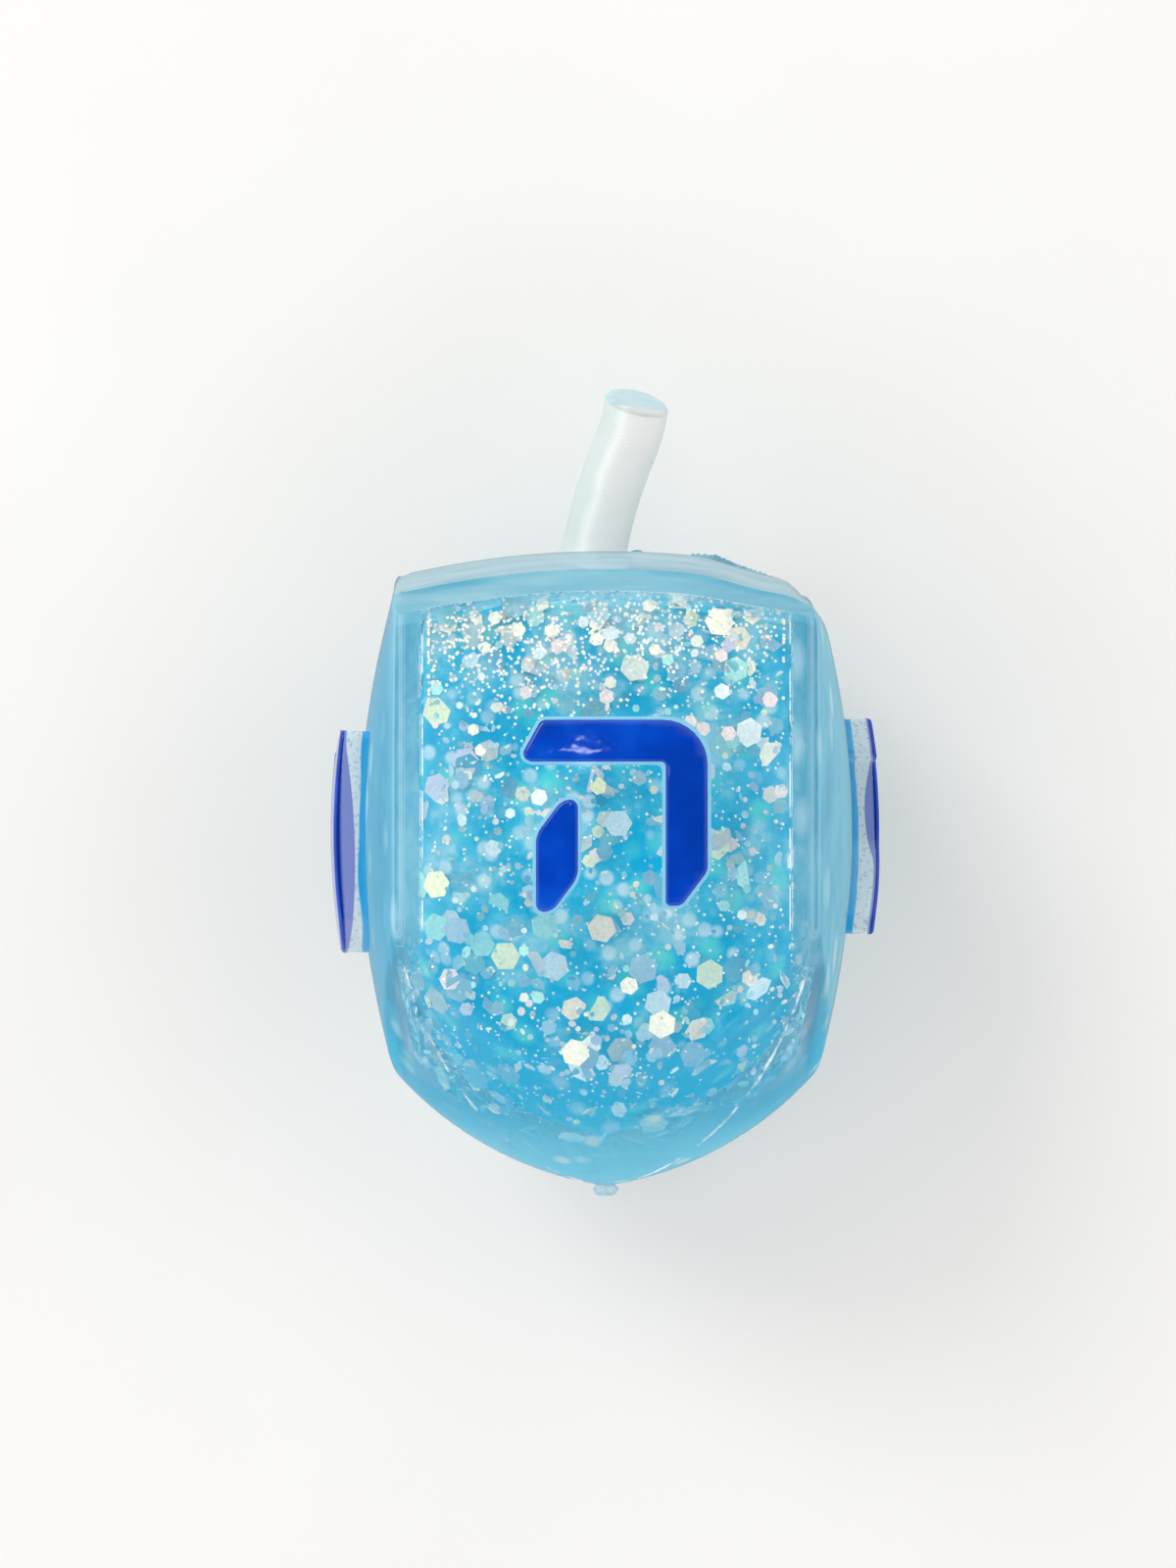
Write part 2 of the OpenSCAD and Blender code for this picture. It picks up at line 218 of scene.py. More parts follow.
def bodyForm(half, low, high, cuts, bulge=body["bulge"], softFold=1):
    # a cube's grid pulled to the body's form; low and high are (kind, distance inside the outer skin)
    # each point keeps how far across its face it lies and how far below the face's top
    bm = bmesh.new()
    bmesh.ops.create_cube(bm, size=2)
    bmesh.ops.subdivide_edges(bm, edges=bm.edges[:], cuts=cuts, use_grid_fill=True)
    across = bm.verts.layers.float.new("across")
    below = bm.verts.layers.float.new("below")
    folds = [e for e in bm.edges if e.calc_face_angle(0) > 1]
    parts = {
        "top": [f for f in bm.faces if f.normal.z > 0.5],
        "sides": [f for f in bm.faces if abs(f.normal.z) < 0.5],
        "ridges": [e for e in folds if abs(e.verts[0].co.z - e.verts[1].co.z) > 0.01],
        "topEdges": [e for e in folds if min(v.co.z for v in e.verts) > 0.99],
        "lowEdges": [e for e in folds if max(v.co.z for v in e.verts) < -0.99],
    }
    nearFold = {v for e in folds if max(v.co.z for v in e.verts) < -0.99 for v in e.verts}
    ends = {}

    def height(kind, inside, reach):
        return tipHeight(reach, inside) if kind == "tip" else domeHeight(reach, inside)

    def endOf(kind, inside, u):
        key = (kind, inside, round(abs(u), 7))
        if key not in ends:
            ends[key] = (lowEnd if kind == "tip" else domeEnd)(half, inside, u, bulge)
        return ends[key]

    for vert in bm.verts:
        a, b, c = vert.co
        far = max(abs(a), abs(b))
        if far < 1e-6:
            vert.co = (0, 0, height(*(high if c > 0 else low), 0))
            vert[below] = 1 if c < 0 else 0
            continue
        onX = abs(a) >= abs(b)
        u = (b if onX else a) / far * half
        zLow, zHigh = endOf(*low, u), endOf(*high, u)
        z = zLow + (zHigh - zLow) * (c + 1) / 2
        out = faceOut(half, u, z, bulge)
        x, y = (math.copysign(out, a), u) if onX else (u, math.copysign(out, b))
        if far < 0.9999:
            x, y = x * far, y * far
            z = height(*(high if c > 0 else low), math.hypot(x, y))
        vert.co = (x, y, z)
        vert[across] = abs(u) * far
        vert[below] = zHigh - z
    # the fold between a face and the tip is a soft one
    for _ in range(softFold):
        nearFold |= {e.other_vert(v) for v in list(nearFold) for e in v.link_edges}
    for _ in range(softFold * 3):
        bmesh.ops.smooth_vert(bm, verts=list(nearFold), factor=0.5, use_axis_x=True, use_axis_y=True,
                              use_axis_z=True)
    return bm, parts


def edgeRound(bm, edges, width, segments=3):
    bmesh.ops.bevel(bm, geom=edges, offset=width, segments=segments, affect="EDGES", profile=0.5, material=-1)


# colours and strengths of the clear rubber
clearRubber = {
    "through": "#FBFEFF",   # tint of what passes straight through one skin
    "deep": "#469ABA",      # the rubber's own scattered colour, where it is clearest
    "haze": "#52A3C1",
    "pale": "#70B5CC",      # and where it is cloudiest
    "side": "#74C2DA",      # along the skin, where light comes through from the far side
    "left": "#409DC2",      # the left face gets less of that light
    "tipTone": "#18ABD2",   # the tip shows more gel, and its very end more rubber
    "tipEnd": "#62C2DE",
    "hazeFacing": 0.05,
    "hazeGrazing": 0.78,
    "power": 1.7,
    "streaks": (1.0, 0.4, 1.0),
    "grain": 2.4 * mm,
    "farFlakes": 3.03 * mm,
    "blurs": ("#BFE3EE", "#96E2DE", "#DDE6DE", "#5FB4D2"),  # far flakes, drawn out by the wall
    "lines": "#B4DAE8",     # fine lines of the mould beside the upright edges
    "linesWide": 1.4 * mm,
    "ripples": 4.76 * mm,
    # outline: painted shade, a dark line along the silhouette where the eye skims the skin
    "outline": "#3F7186",
    "gloss": 0.4,
    "specks": "#20333A",    # dust that sticks to soft rubber
    "dustApart": 3.03 * mm,
    "dustRadius": 0.136 * mm,
    "dustShare": 0.025,     # of the places where it could lie
    "ranges": {             # where a thing starts and where it is full, in mm, and how strong it then is
        "band": (18.15, 18.6, 0.8),    # across: the solid corner of the wall, seen through its length
        "upper": (-15, -9, 1.0),       # along the axis: above the tip
        "seam": (1.3, 0.6, 0.5),       # below the face's top: the line of glue under the cap
        "tip": (-16, -33, 0.42),       # along the axis: the moulded tip is thicker
        "tipTone": (-14, -24, 1.0),
        "tipEnd": (-26, -32, 0.85),
        "flank": (20.2, 21.2, 0.4),    # out from the axis: the wall beside the faces
        "left": (-20.5, -22, 0.85),
    },
}


def mouldedTpr(name, settings, wall=False):
    # moulded clear thermoplastic rubber: glossy, clear face-on, milky pale blue along the skin and if thick
    material, tree = newMaterial(name)
    place = addNode(tree, "TexCoord").outputs["Object"]
    graze = addNode(tree, "LayerWeight", {"Blend": 0.5}).outputs["Facing"]
    curve = addNode(tree, "Math", {"operation": "POWER", 1: settings["power"]}, {0: graze})
    haze = addNode(tree, "Math", {
        "operation": "MULTIPLY_ADD", 1: settings["hazeGrazing"], 2: settings["hazeFacing"]}, {0: curve})
    drawn = addNode(tree, "Mapping", {"Scale": settings["streaks"]}, {"Vector": place})
    cloud = addNode(tree, "TexNoise", {
        "Scale": 1 / settings["grain"], "Detail": 3.0}, {"Vector": drawn})
    if wall:
        across = addNode(tree, "Attribute", {"attribute_name": "across"}).outputs["Fac"]
        below = addNode(tree, "Attribute", {"attribute_name": "below"}).outputs["Fac"]
        parts = addNode(tree, "SeparateXYZ", links={0: place})
        along = parts.outputs["Y"]
        level = addNode(tree, "Math", {"operation": "SUBTRACT", 1: axisHeight}, {0: parts.outputs["Z"]})
        level = addNode(tree, "Math", {"operation": "ABSOLUTE"}, {0: level})
        wide = addNode(tree, "Math", {"operation": "ABSOLUTE"}, {0: parts.outputs["X"]})
        wide = addNode(tree, "Math", {"operation": "MAXIMUM"}, {0: wide, 1: level})
        shares = {}
        for key, source in (("band", across), ("upper", along), ("seam", below), ("tip", along),
                            ("flank", wide), ("tipTone", along), ("tipEnd", along),
                            ("left", parts.outputs["X"])):
            start, full, most = settings["ranges"][key]
            shares[key] = addNode(tree, "MapRange", {
                **soft, "From Min": start * mm, "From Max": full * mm, "To Max": most}, {"Value": source})
        skimmed = addNode(tree, "MapRange", {"From Min": 0.2, "From Max": 0.45}, {"Value": graze})
        for key, within in (("band", shares["upper"]), ("flank", skimmed)):
            shares[key] = addNode(tree, "Math", {"operation": "MULTIPLY"}, {0: shares[key], 1: within})
        for key in ("band", "seam", "tip", "flank"):
            haze = addNode(tree, "Math", {"operation": "ADD"}, {0: haze, 1: shares[key]})
        cloud = addNode(tree, "Math", {"operation": "MULTIPLY_ADD", 1: 0.35}, {0: shares["seam"], 2: cloud})
    patch = addNode(tree, "MapRange", {
        "From Min": 0.35, "From Max": 0.65, "To Min": -0.05, "To Max": 0.05}, {"Value": cloud})
    haze = addNode(tree, "Math", {"operation": "ADD", "use_clamp": True}, {0: haze, 1: patch})
    tone = addNode(tree, "ValToRGB", links={0: cloud})
    setStops(tone.color_ramp, [(0.36, settings["deep"]), (0.5, settings["haze"]), (0.68, settings["pale"])])
    skim = addNode(tree, "MapRange", {
        **soft, "From Min": 0.45, "From Max": 0.85, "To Max": 0.7}, {"Value": graze})
    tone = addNode(tree, "Mix", {"data_type": "RGBA", 7: linearOf(settings["side"])}, {
        0: skim, 6: tone}).outputs[2]
    if wall:
        for key in ("left", "tipTone", "tipEnd"):
            tone = addNode(tree, "Mix", {"data_type": "RGBA", 7: linearOf(settings[key])}, {
                0: shares[key], 6: tone}).outputs[2]
        drawn = addNode(tree, "Mapping", {"Scale": (1.0, 0.45, 1.0)}, {"Vector": place})
        blur = addNode(tree, "TexVoronoi", {"Scale": 1 / settings["farFlakes"]}, {"Vector": drawn})
        near = addNode(tree, "MapRange", {
            **soft, "From Min": 0.42, "From Max": 0.12, "To Max": 0.45},
            {"Value": blur.outputs["Distance"]})
        pick = addNode(tree, "SeparateColor", links={0: blur.outputs["Color"]})
        pick = addNode(tree, "ValToRGB", links={0: pick})
        pick.color_ramp.interpolation = "CONSTANT"
        setStops(pick.color_ramp, list(zip((0, 0.3, 0.45, 0.6), settings["blurs"])))
        tone = addNode(tree, "Mix", {"data_type": "RGBA"}, {0: near, 6: tone, 7: pick}).outputs[2]
        beside = addNode(tree, "MapRange", {
            "From Min": body["edgeHalf"] - settings["linesWide"], "From Max": body["edgeHalf"]},
            {"Value": across})
        lines = addNode(tree, "ValToRGB", links={0: beside})
        places = (0.3, 0.34, 0.38, 0.6, 0.63, 0.66, 0.85)
        setStops(lines.color_ramp, list(zip(places, ["#000000", "#FFFFFF"] * 4)))
        lines = addNode(tree, "Math", {"operation": "MULTIPLY"}, {0: lines, 1: shares["upper"]})
        lines = addNode(tree, "Math", {"operation": "MULTIPLY", 1: 0.5}, {0: lines})
        tone = addNode(tree, "Mix", {"data_type": "RGBA", 7: linearOf(settings["lines"])}, {
            0: lines, 6: tone}).outputs[2]
    # painted shade: the tone darkens towards the outline colour where the eye skims the skin, at its
    # silhouette
    edge = addNode(tree, "Math", {"operation": "POWER", 1: 22.0}, {0: graze})
    edge = addNode(tree, "Math", {"operation": "MULTIPLY", 1: 0.7}, {0: edge})
    tone = addNode(tree, "Mix", {"data_type": "RGBA", 7: linearOf(settings["outline"])}, {
        0: edge, 6: tone}).outputs[2]
    dust = addNode(tree, "TexVoronoi", {"Scale": 1 / settings["dustApart"]}, {"Vector": place})
    keep = addNode(tree, "SeparateColor", links={0: dust.outputs["Color"]})
    keep = addNode(tree, "Math", {"operation": "GREATER_THAN", 1: 1 - settings["dustShare"]}, {0: keep})
    dot = addNode(tree, "Math", {
        "operation": "LESS_THAN", 1: settings["dustRadius"] / settings["dustApart"]},
        {0: dust.outputs["Distance"]})
    dot = addNode(tree, "Math", {"operation": "MULTIPLY"}, {0: dot, 1: keep})
    tone = addNode(tree, "Mix", {"data_type": "RGBA", 7: linearOf(settings["specks"])}, {0: dot, 6: tone})
    haze = addNode(tree, "Math", {"operation": "MAXIMUM"}, {0: haze, 1: dot})
    ripples = addNode(tree, "TexNoise", {"Scale": 1 / settings["ripples"], "Detail": 2.0}, {"Vector": place})
    bump = addNode(tree, "Bump", {"Strength": 0.2, "Distance": 0.25 * mm}, {"Height": ripples})
    milky = addNode(tree, "BsdfPrincipled", {"Roughness": 0.5, "Specular IOR Level": 0.0}, {
        "Base Color": tone.outputs[2], "Normal": bump})
    clear = addNode(tree, "BsdfTransparent", {"Color": linearOf(settings["through"])})
    whole = addNode(tree, "MixShader", links={0: haze, 1: clear, 2: milky})
    if settings["gloss"]:
        shine = addNode(tree, "BsdfGlossy", {"Roughness": 0.1}, {"Normal": bump})
        rim = addNode(tree, "Math", {"operation": "POWER", 1: 5.0}, {0: graze})
        rim = addNode(tree, "Math", {"operation": "MULTIPLY_ADD", 1: settings["gloss"], 2: 0.03}, {0: rim})
        whole = addNode(tree, "MixShader", links={0: rim, 1: whole, 2: shine})
    outputLit(tree, whole)
    return material


reliefRubber = {"foot": "#0B9EDC", "wall": "#CBDCE4", "top": "#A6E2F2", "grain": "#839BA8",
                "footHigh": 0.75 * mm, "footBlend": 0.06 * mm, "wallHigh": 2.25 * mm, "wallBlend": 0.1 * mm,
                "waves": 7.692 * mm, "wavesHigh": 0.9 * mm, "frost": 0.3846 * mm}


def reliefTpr(name, settings):
    # the letters' clear rubber: gel blue shows in its foot, the mould frosts its wall, its rim is clear
    material, tree = newMaterial(name)
    place = addNode(tree, "TexCoord").outputs["Object"]
    rise = addNode(tree, "Attribute", {"attribute_name": "rise"}).outputs["Fac"]
    waves = addNode(tree, "TexNoise", {"Scale": 1 / settings["waves"], "Detail": 2.0}, {"Vector": place})
    waves = addNode(tree, "Math", {
        "operation": "MULTIPLY_ADD", 1: settings["wavesHigh"], 2: -settings["wavesHigh"] / 2}, {0: waves})
    level = addNode(tree, "Math", {"operation": "ADD"}, {0: rise, 1: waves})
    aboveFoot, aboveWall = (addNode(tree, "MapRange", {
        "From Min": settings[key + "High"] - settings[key + "Blend"],
        "From Max": settings[key + "High"] + settings[key + "Blend"]}, {"Value": source})
        for key, source in (("foot", level), ("wall", rise)))
    frost = addNode(tree, "TexNoise", {"Scale": 1 / settings["frost"], "Detail": 1.0}, {"Vector": place})
    frost = addNode(tree, "MapRange", {"From Min": 0.56, "From Max": 0.66, "To Max": 0.6}, {"Value": frost})
    wall = addNode(tree, "Mix", {
        "data_type": "RGBA", 6: linearOf(settings["wall"]), 7: linearOf(settings["grain"])}, {0: frost})
    low = addNode(tree, "Mix", {"data_type": "RGBA", 6: linearOf(settings["foot"])}, {
        0: aboveFoot, 7: wall.outputs[2]})
    tone = addNode(tree, "Mix", {"data_type": "RGBA", 7: linearOf(settings["top"])}, {
        0: aboveWall, 6: low.outputs[2]})
    haze = addNode(tree, "MapRange", {"To Min": 0.86, "To Max": 0.5}, {"Value": aboveWall})
    milky = addNode(tree, "BsdfPrincipled", {"Roughness": 0.4}, {"Base Color": tone.outputs[2]})
    clear = addNode(tree, "BsdfTransparent", {"Color": linearOf("#F4FBFD")})
    outputLit(tree, addNode(tree, "MixShader", links={0: haze, 1: clear, 2: milky}))
    return material


gelVeil = {"tints": ("#2FA8DC", "#5CC0E0", "#9AD6E8"), "facing": 0.05, "grazing": 0.4,
           "cloudSize": 6.25 * mm}


def gelSurface(name, settings):
    # water-based gel right under the wall: nearly clear face-on, bluer where the eye skims it
    material, tree = newMaterial(name)
    place = addNode(tree, "TexCoord").outputs["Object"]
    graze = addNode(tree, "LayerWeight", {"Blend": 0.5}).outputs["Facing"]
    curve = addNode(tree, "Math", {"operation": "POWER", 1: 2.0}, {0: graze})
    amount = addNode(tree, "Math", {"operation": "MULTIPLY_ADD", "use_clamp": True, 1: settings["grazing"],
                                    2: settings["facing"]}, {0: curve})
    cloud = addNode(tree, "TexNoise", {"Scale": 1 / settings["cloudSize"], "Detail": 3.0}, {"Vector": place})
    tint = addNode(tree, "ValToRGB", links={0: cloud})
    setStops(tint.color_ramp, list(zip((0.35, 0.5, 0.66), settings["tints"])))
    blue = addNode(tree, "BsdfPrincipled", {"Roughness": 0.6, "Specular IOR Level": 0.0},
                   {"Base Color": tint})
    clear = addNode(tree, "BsdfTransparent", {"Color": linearOf("#FAFEFF")})
    outputLit(tree, addNode(tree, "MixShader", links={0: amount, 1: clear, 2: blue}))
    return material


gelDeep = {
    "clouds": ("#0A9DC6", "#3AABCB", "#82C0D1"),
    "pale": "#CCDEE2",
    "mint": "#5CD0C4",
    "crowd": (12, 23, 0.1),      # more pale clouds towards the top, in mm along the axis
    "clearer": (-8, -24, 0.14),  # and fewer towards the tip
    "glow": 0.17,                # light scattered inside it
    "amidst": 0.32,              # and more of it between the front letter's bars
    "amidstRange": (13, 6),      # where that starts and is full, in mm from the letter's middle
    "cloudSize": 6.667 * mm,
    "speckApart": 2.381 * mm,
    "speckPatches": 14.286 * mm,
    "mintApart": 4.348 * mm,
}


def amidstLetter(tree, place, most):
    # the share of that further light, round the middle of the front face
    start, full = gelDeep["amidstRange"]
    away = addNode(tree, "VectorMath", {
        "operation": "DISTANCE", 1: (0.001, 0.002, axisHeight + body["edgeHalf"])}, {0: place})
    return addNode(tree, "MapRange", {
        **soft, "From Min": start * mm, "From Max": full * mm, "To Max": most},
        {"Value": away.outputs["Value"]})


def gelPatches(tree, place, settings):
    # clear sky-blue gel with paler clouds of far flakes in it
    cloud = addNode(tree, "TexNoise", {
        "Scale": 1 / settings["cloudSize"], "Detail": 5.0, "Roughness": 0.65}, {"Vector": place})
    along = addNode(tree, "SeparateXYZ", links={0: place}).outputs["Y"]
    for key, operation in (("crowd", "ADD"), ("clearer", "SUBTRACT")):
        start, full, most = settings[key]
        share = addNode(tree, "MapRange", {
            **soft, "From Min": start * mm, "From Max": full * mm, "To Max": most}, {"Value": along})
        cloud = addNode(tree, "Math", {"operation": operation}, {0: cloud, 1: share})
    base = addNode(tree, "ValToRGB", links={0: cloud})
    setStops(base.color_ramp, list(zip((0.42, 0.51, 0.63), settings["clouds"])))
    return base


def gelDepths(name, settings):
    # the gel a few millimetres in, where far flakes blur into pale and mint patches
    material, tree = newMaterial(name)
    place = addNode(tree, "TexCoord").outputs["Object"]
    base = gelPatches(tree, place, settings)
    spots = addNode(tree, "TexVoronoi", {"Scale": 1 / settings["speckApart"]}, {"Vector": place})
    dots = addNode(tree, "MapRange", {
        **soft, "From Min": 0.4, "From Max": 0.2}, {"Value": spots.outputs["Distance"]})
    some = addNode(tree, "TexNoise", {"Scale": 1 / settings["speckPatches"]}, {"Vector": place})
    some = addNode(tree, "MapRange", {"From Min": 0.42, "From Max": 0.62, "To Max": 0.7}, {"Value": some})
    amount = addNode(tree, "Math", {"operation": "MULTIPLY"}, {0: dots, 1: some})
    pale = addNode(tree, "Mix", {"data_type": "RGBA", 7: linearOf(settings["pale"])}, {0: amount, 6: base})
    moved = addNode(tree, "Mapping", {"Location": (0.3, 0.1, 0.2)}, {"Vector": place})
    greens = addNode(tree, "TexVoronoi", {"Scale": 1 / settings["mintApart"]}, {"Vector": moved})
    green = addNode(tree, "MapRange", {
        **soft, "From Min": 0.4, "From Max": 0.1, "To Max": 0.6},
        {"Value": greens.outputs["Distance"]})
    mixed = addNode(tree, "Mix", {"data_type": "RGBA", 7: linearOf(settings["mint"])}, {
        0: green, 6: pale.outputs[2]})
    more = amidstLetter(tree, place, settings["amidst"])
    glow = addNode(tree, "Math", {"operation": "ADD", 1: settings["glow"]}, {0: more})
    shader = addNode(tree, "BsdfPrincipled", {"Roughness": 0.7, "Specular IOR Level": 0.0}, {
        "Base Color": mixed.outputs[2], "Emission Color": mixed.outputs[2], "Emission Strength": glow})
    addNode(tree, "OutputMaterial", links={0: shader})
    return material


pearl = {
    # each flake has one of these casts, the brightest first
    "casts": {"white": "#FFFEF6", "cream": "#FFF4DC", "peach": "#FFE8CC", "pink": "#FAE0DC",
              "yellow": "#F8F8C6", "silver": "#E4EEEE", "mint": "#B8ECDE", "sky": "#C6E0EA",
              "lilac": "#D4CEE0", "grey": "#BECCDA"},
    "speckle": 0.35 * mm,
    "glow": 0.25,           # light that the film throws back from the lamps
}


def pearlFilm(name, settings, scattered=True):
    # cut polyester film with a pearl coating: each flake has its own cast, and fades to gel blue where deep
    material, tree = newMaterial(name)
    place = addNode(tree, "TexCoord").outputs["Object"]
    if scattered:
        each = addNode(tree, "Attribute", {"attribute_name": "cast"}).outputs["Fac"]
        fade = addNode(tree, "Attribute", {"attribute_name": "sunk"}).outputs["Fac"]
    else:
        each = addNode(tree, "NewGeometry").outputs["Random Per Island"]
        again = addNode(tree, "Math", {"operation": "MULTIPLY", 1: 7.31}, {0: each})
        again = addNode(tree, "Math", {"operation": "FRACT"}, {0: again})
        fade = addNode(tree, "MapRange", {"To Min": 0.15, "To Max": 0.8}, {"Value": again})
    tone = addNode(tree, "ValToRGB", links={0: each})
    tone.color_ramp.interpolation = "CONSTANT"
    casts = list(settings["casts"].values())
    setStops(tone.color_ramp, [(i / len(casts), cast) for i, cast in enumerate(casts)])
    mottle = addNode(tree, "TexNoise", {"Scale": 1 / settings["speckle"], "Detail": 2.0}, {"Vector": place})
    shade = addNode(tree, "MapRange", {"From Min": 0.35, "From Max": 0.6, "To Min": 0.86, "To Max": 1.03},
                    {"Value": mottle})
    value = addNode(tree, "HueSaturation", links={"Value": shade, "Color": tone})
    around = gelPatches(tree, place, gelDeep)
    faded = addNode(tree, "Mix", {"data_type": "RGBA"}, {0: fade, 6: value, 7: around})
    glow = addNode(tree, "Math", {"operation": "MULTIPLY_ADD", "use_clamp": True, 1: -settings["glow"] * 1.6,
                                  2: settings["glow"]}, {0: fade})
    glow = addNode(tree, "Math", {"operation": "ADD"}, {
        0: glow, 1: amidstLetter(tree, place, gelDeep["amidst"] * 0.7)})
    shader = addNode(tree, "BsdfPrincipled", {"Roughness": 0.35, "IOR": 1.5, "Specular IOR Level": 0.3}, {
        "Base Color": faded.outputs[2], "Emission Color": faded.outputs[2], "Emission Strength": glow})
    outputLit(tree, shader)
    return material


# rim is painted shade along the paint's rounded rim, side a painted pale violet sheen on the paint's sides
paint = {"tints": ("#0238A4", "#0240B8", "#0850C8"), "rim": "#022A86", "side": "#8A96D2",
         "cloudSize": 5.882 * mm, "waves": 2.381 * mm, "wavesHigh": 0.2 * mm}


def padPaint(name, settings):
    # thick glossy royal blue paint, dabbed on: a little lighter where it lies thin, with a painted dark line
    # along its rounded rim and a painted pale violet sheen down its sides
    material, tree = newMaterial(name)
    place = addNode(tree, "TexCoord").outputs["Object"]
    cloud = addNode(tree, "TexNoise", {"Scale": 1 / settings["cloudSize"], "Detail": 2.0}, {"Vector": place})
    tone = addNode(tree, "ValToRGB", links={0: cloud})
    setStops(tone.color_ramp, list(zip((0.32, 0.52, 0.72), settings["tints"])))
    # painted shade and sheen: dark from partway down the rounded rim, pale violet lower down the sides
    rim = addNode(tree, "Attribute", {"attribute_name": "rim"}).outputs["Fac"]
    side = addNode(tree, "MapRange", {"From Min": 1.2, "From Max": 1.6, "To Max": 0.8}, {"Value": rim})
    rim = addNode(tree, "MapRange", {"From Min": 0.45, "From Max": 0.85, "To Max": 0.85}, {"Value": rim})
    tone = addNode(tree, "Mix", {"data_type": "RGBA", 7: linearOf(settings["rim"])}, {0: rim, 6: tone})
    tone = addNode(tree, "Mix", {"data_type": "RGBA", 7: linearOf(settings["side"])}, {
        0: side, 6: tone.outputs[2]})
    waves = addNode(tree, "TexNoise", {"Scale": 1 / settings["waves"], "Detail": 2.0}, {"Vector": place})
    bump = addNode(tree, "Bump", {"Strength": 0.35, "Distance": settings["wavesHigh"]}, {"Height": waves})
    shader = addNode(tree, "BsdfPrincipled", {"Roughness": 0.09, "IOR": 1.5, "Specular IOR Level": 0.36}, {
        "Base Color": tone.outputs[2], "Normal": bump})
    outputLit(tree, shader)
    return material


stemRubber = {
    # painted light and shade across the rod: darker on its left, a band of light beside that
    "across": ((0.0, "#CFDCD9"), (0.2, "#D8E2DF"), (0.33, "#F3F4F2"), (0.46, "#EDEDEA"), (0.85, "#F0EEEA"),
               (1.0, "#E2E6E4")),  # from its left side to its right one
    "through": 0.08,
    # painted shade where the eye skims the rod's edges
    "edge": "#CAD5D3",
    "cut": "#B7D6E1",
    "cutLine": "#A2CBD9",
    "cutGrain": 1.111 * mm,
    "cloudSize": 3.846 * mm,
    "pullMarks": 0.3927 * mm,  # from one mark to the next
    "pullHigh": 0.06 * mm,
}


def milkyTpr(name, settings, cut=False):
    # the same rubber, milky white, with painted shade, cooler and darker, at its edges and painted light and
    # shade across it, with fine pull marks across the rod
    material, tree = newMaterial(name)
    place = addNode(tree, "TexCoord").outputs["Object"]
    if cut:
        drawn = addNode(tree, "Mapping", {"Scale": (0.3, 1.0, 1.0)}, {"Vector": place})
        cloud = addNode(tree, "TexNoise", {
            "Scale": 1 / settings["cutGrain"], "Detail": 3.0}, {"Vector": drawn})
        tone = addNode(tree, "ValToRGB", links={0: cloud})
        setStops(tone.color_ramp, [(0.3, settings["cutLine"]), (0.62, settings["cut"])])
    else:
        # painted light and shade across the rod, by its left and right: a soft painted band of light beside
        # its darker, cooler left side
        cloud = addNode(tree, "TexNoise", {
            "Scale": 1 / settings["cloudSize"], "Detail": 3.0}, {"Vector": place})
        side = addNode(tree, "Attribute", {"attribute_name": "side"}).outputs["Fac"]
        side = addNode(tree, "Math", {"operation": "MULTIPLY_ADD", 1: 0.16}, {0: cloud, 2: side})
        side = addNode(tree, "Math", {"operation": "SUBTRACT", 1: 0.08}, {0: side})
        tone = addNode(tree, "ValToRGB", links={0: side})
        setStops(tone.color_ramp, settings["across"])
    # painted shade: darker and cooler where the eye skims the rod's edges
    graze = addNode(tree, "LayerWeight", {"Blend": 0.5}).outputs["Facing"]
    curve = addNode(tree, "Math", {"operation": "POWER", 1: 3.0}, {0: graze})
    tone = addNode(tree, "Mix", {"data_type": "RGBA", 7: linearOf(settings["edge"])}, {0: curve, 6: tone})
    marks = addNode(tree, "TexWave", {
        "wave_type": "BANDS", "bands_direction": "Y", "Scale": math.pi / 10 / settings["pullMarks"],
        "Distortion": 6.0, "Detail": 2.0}, {"Vector": place})
    bump = addNode(tree, "Bump", {"Strength": 0.12, "Distance": settings["pullHigh"]}, {"Height": marks})
    shader = addNode(tree, "BsdfPrincipled", {
        "Roughness": 0.35, "IOR": 1.45, "Subsurface Weight": 0.3, "Subsurface Scale": 3 * mm,
        "Subsurface Radius": (1.0, 1.0, 1.0)}, {"Base Color": tone.outputs[2], "Normal": bump})
    clear = addNode(tree, "BsdfTransparent", {"Color": linearOf("#F6F8F8")})
    whole = addNode(tree, "MixShader", {0: settings["through"]}, {1: shader, 2: clear})
    addNode(tree, "OutputMaterial", links={0: whole})
    return material


# how much of a line is bright, how sharply it breaks off, and how far apart the breaks are
wallGleam = {"low": 0.46, "high": 0.54, "most": 0.95, "breaks": 3.846 * mm}
seamGleam = dict(wallGleam, high=0.66, most=0.8)


def gleamLine(name, settings):
    # bright broken line where the inner edge of the wall, or a seam, catches the light
    material, tree = newMaterial(name)
    place = addNode(tree, "TexCoord").outputs["Object"]
    breaks = addNode(tree, "TexNoise", {
        "Scale": 1 / settings["breaks"], "Detail": 3.0, "Roughness": 0.7}, {"Vector": place})
    amount = addNode(tree, "MapRange", {
        "From Min": settings["low"], "From Max": settings["high"], "To Max": settings["most"]},
        {"Value": breaks})
    white = addNode(tree, "BsdfPrincipled", {"Base Color": linearOf("#F4FAFA"), "Roughness": 0.3})
    clear = addNode(tree, "BsdfTransparent")
    outputLit(tree, addNode(tree, "MixShader", links={0: amount, 1: clear, 2: white}))
    return material


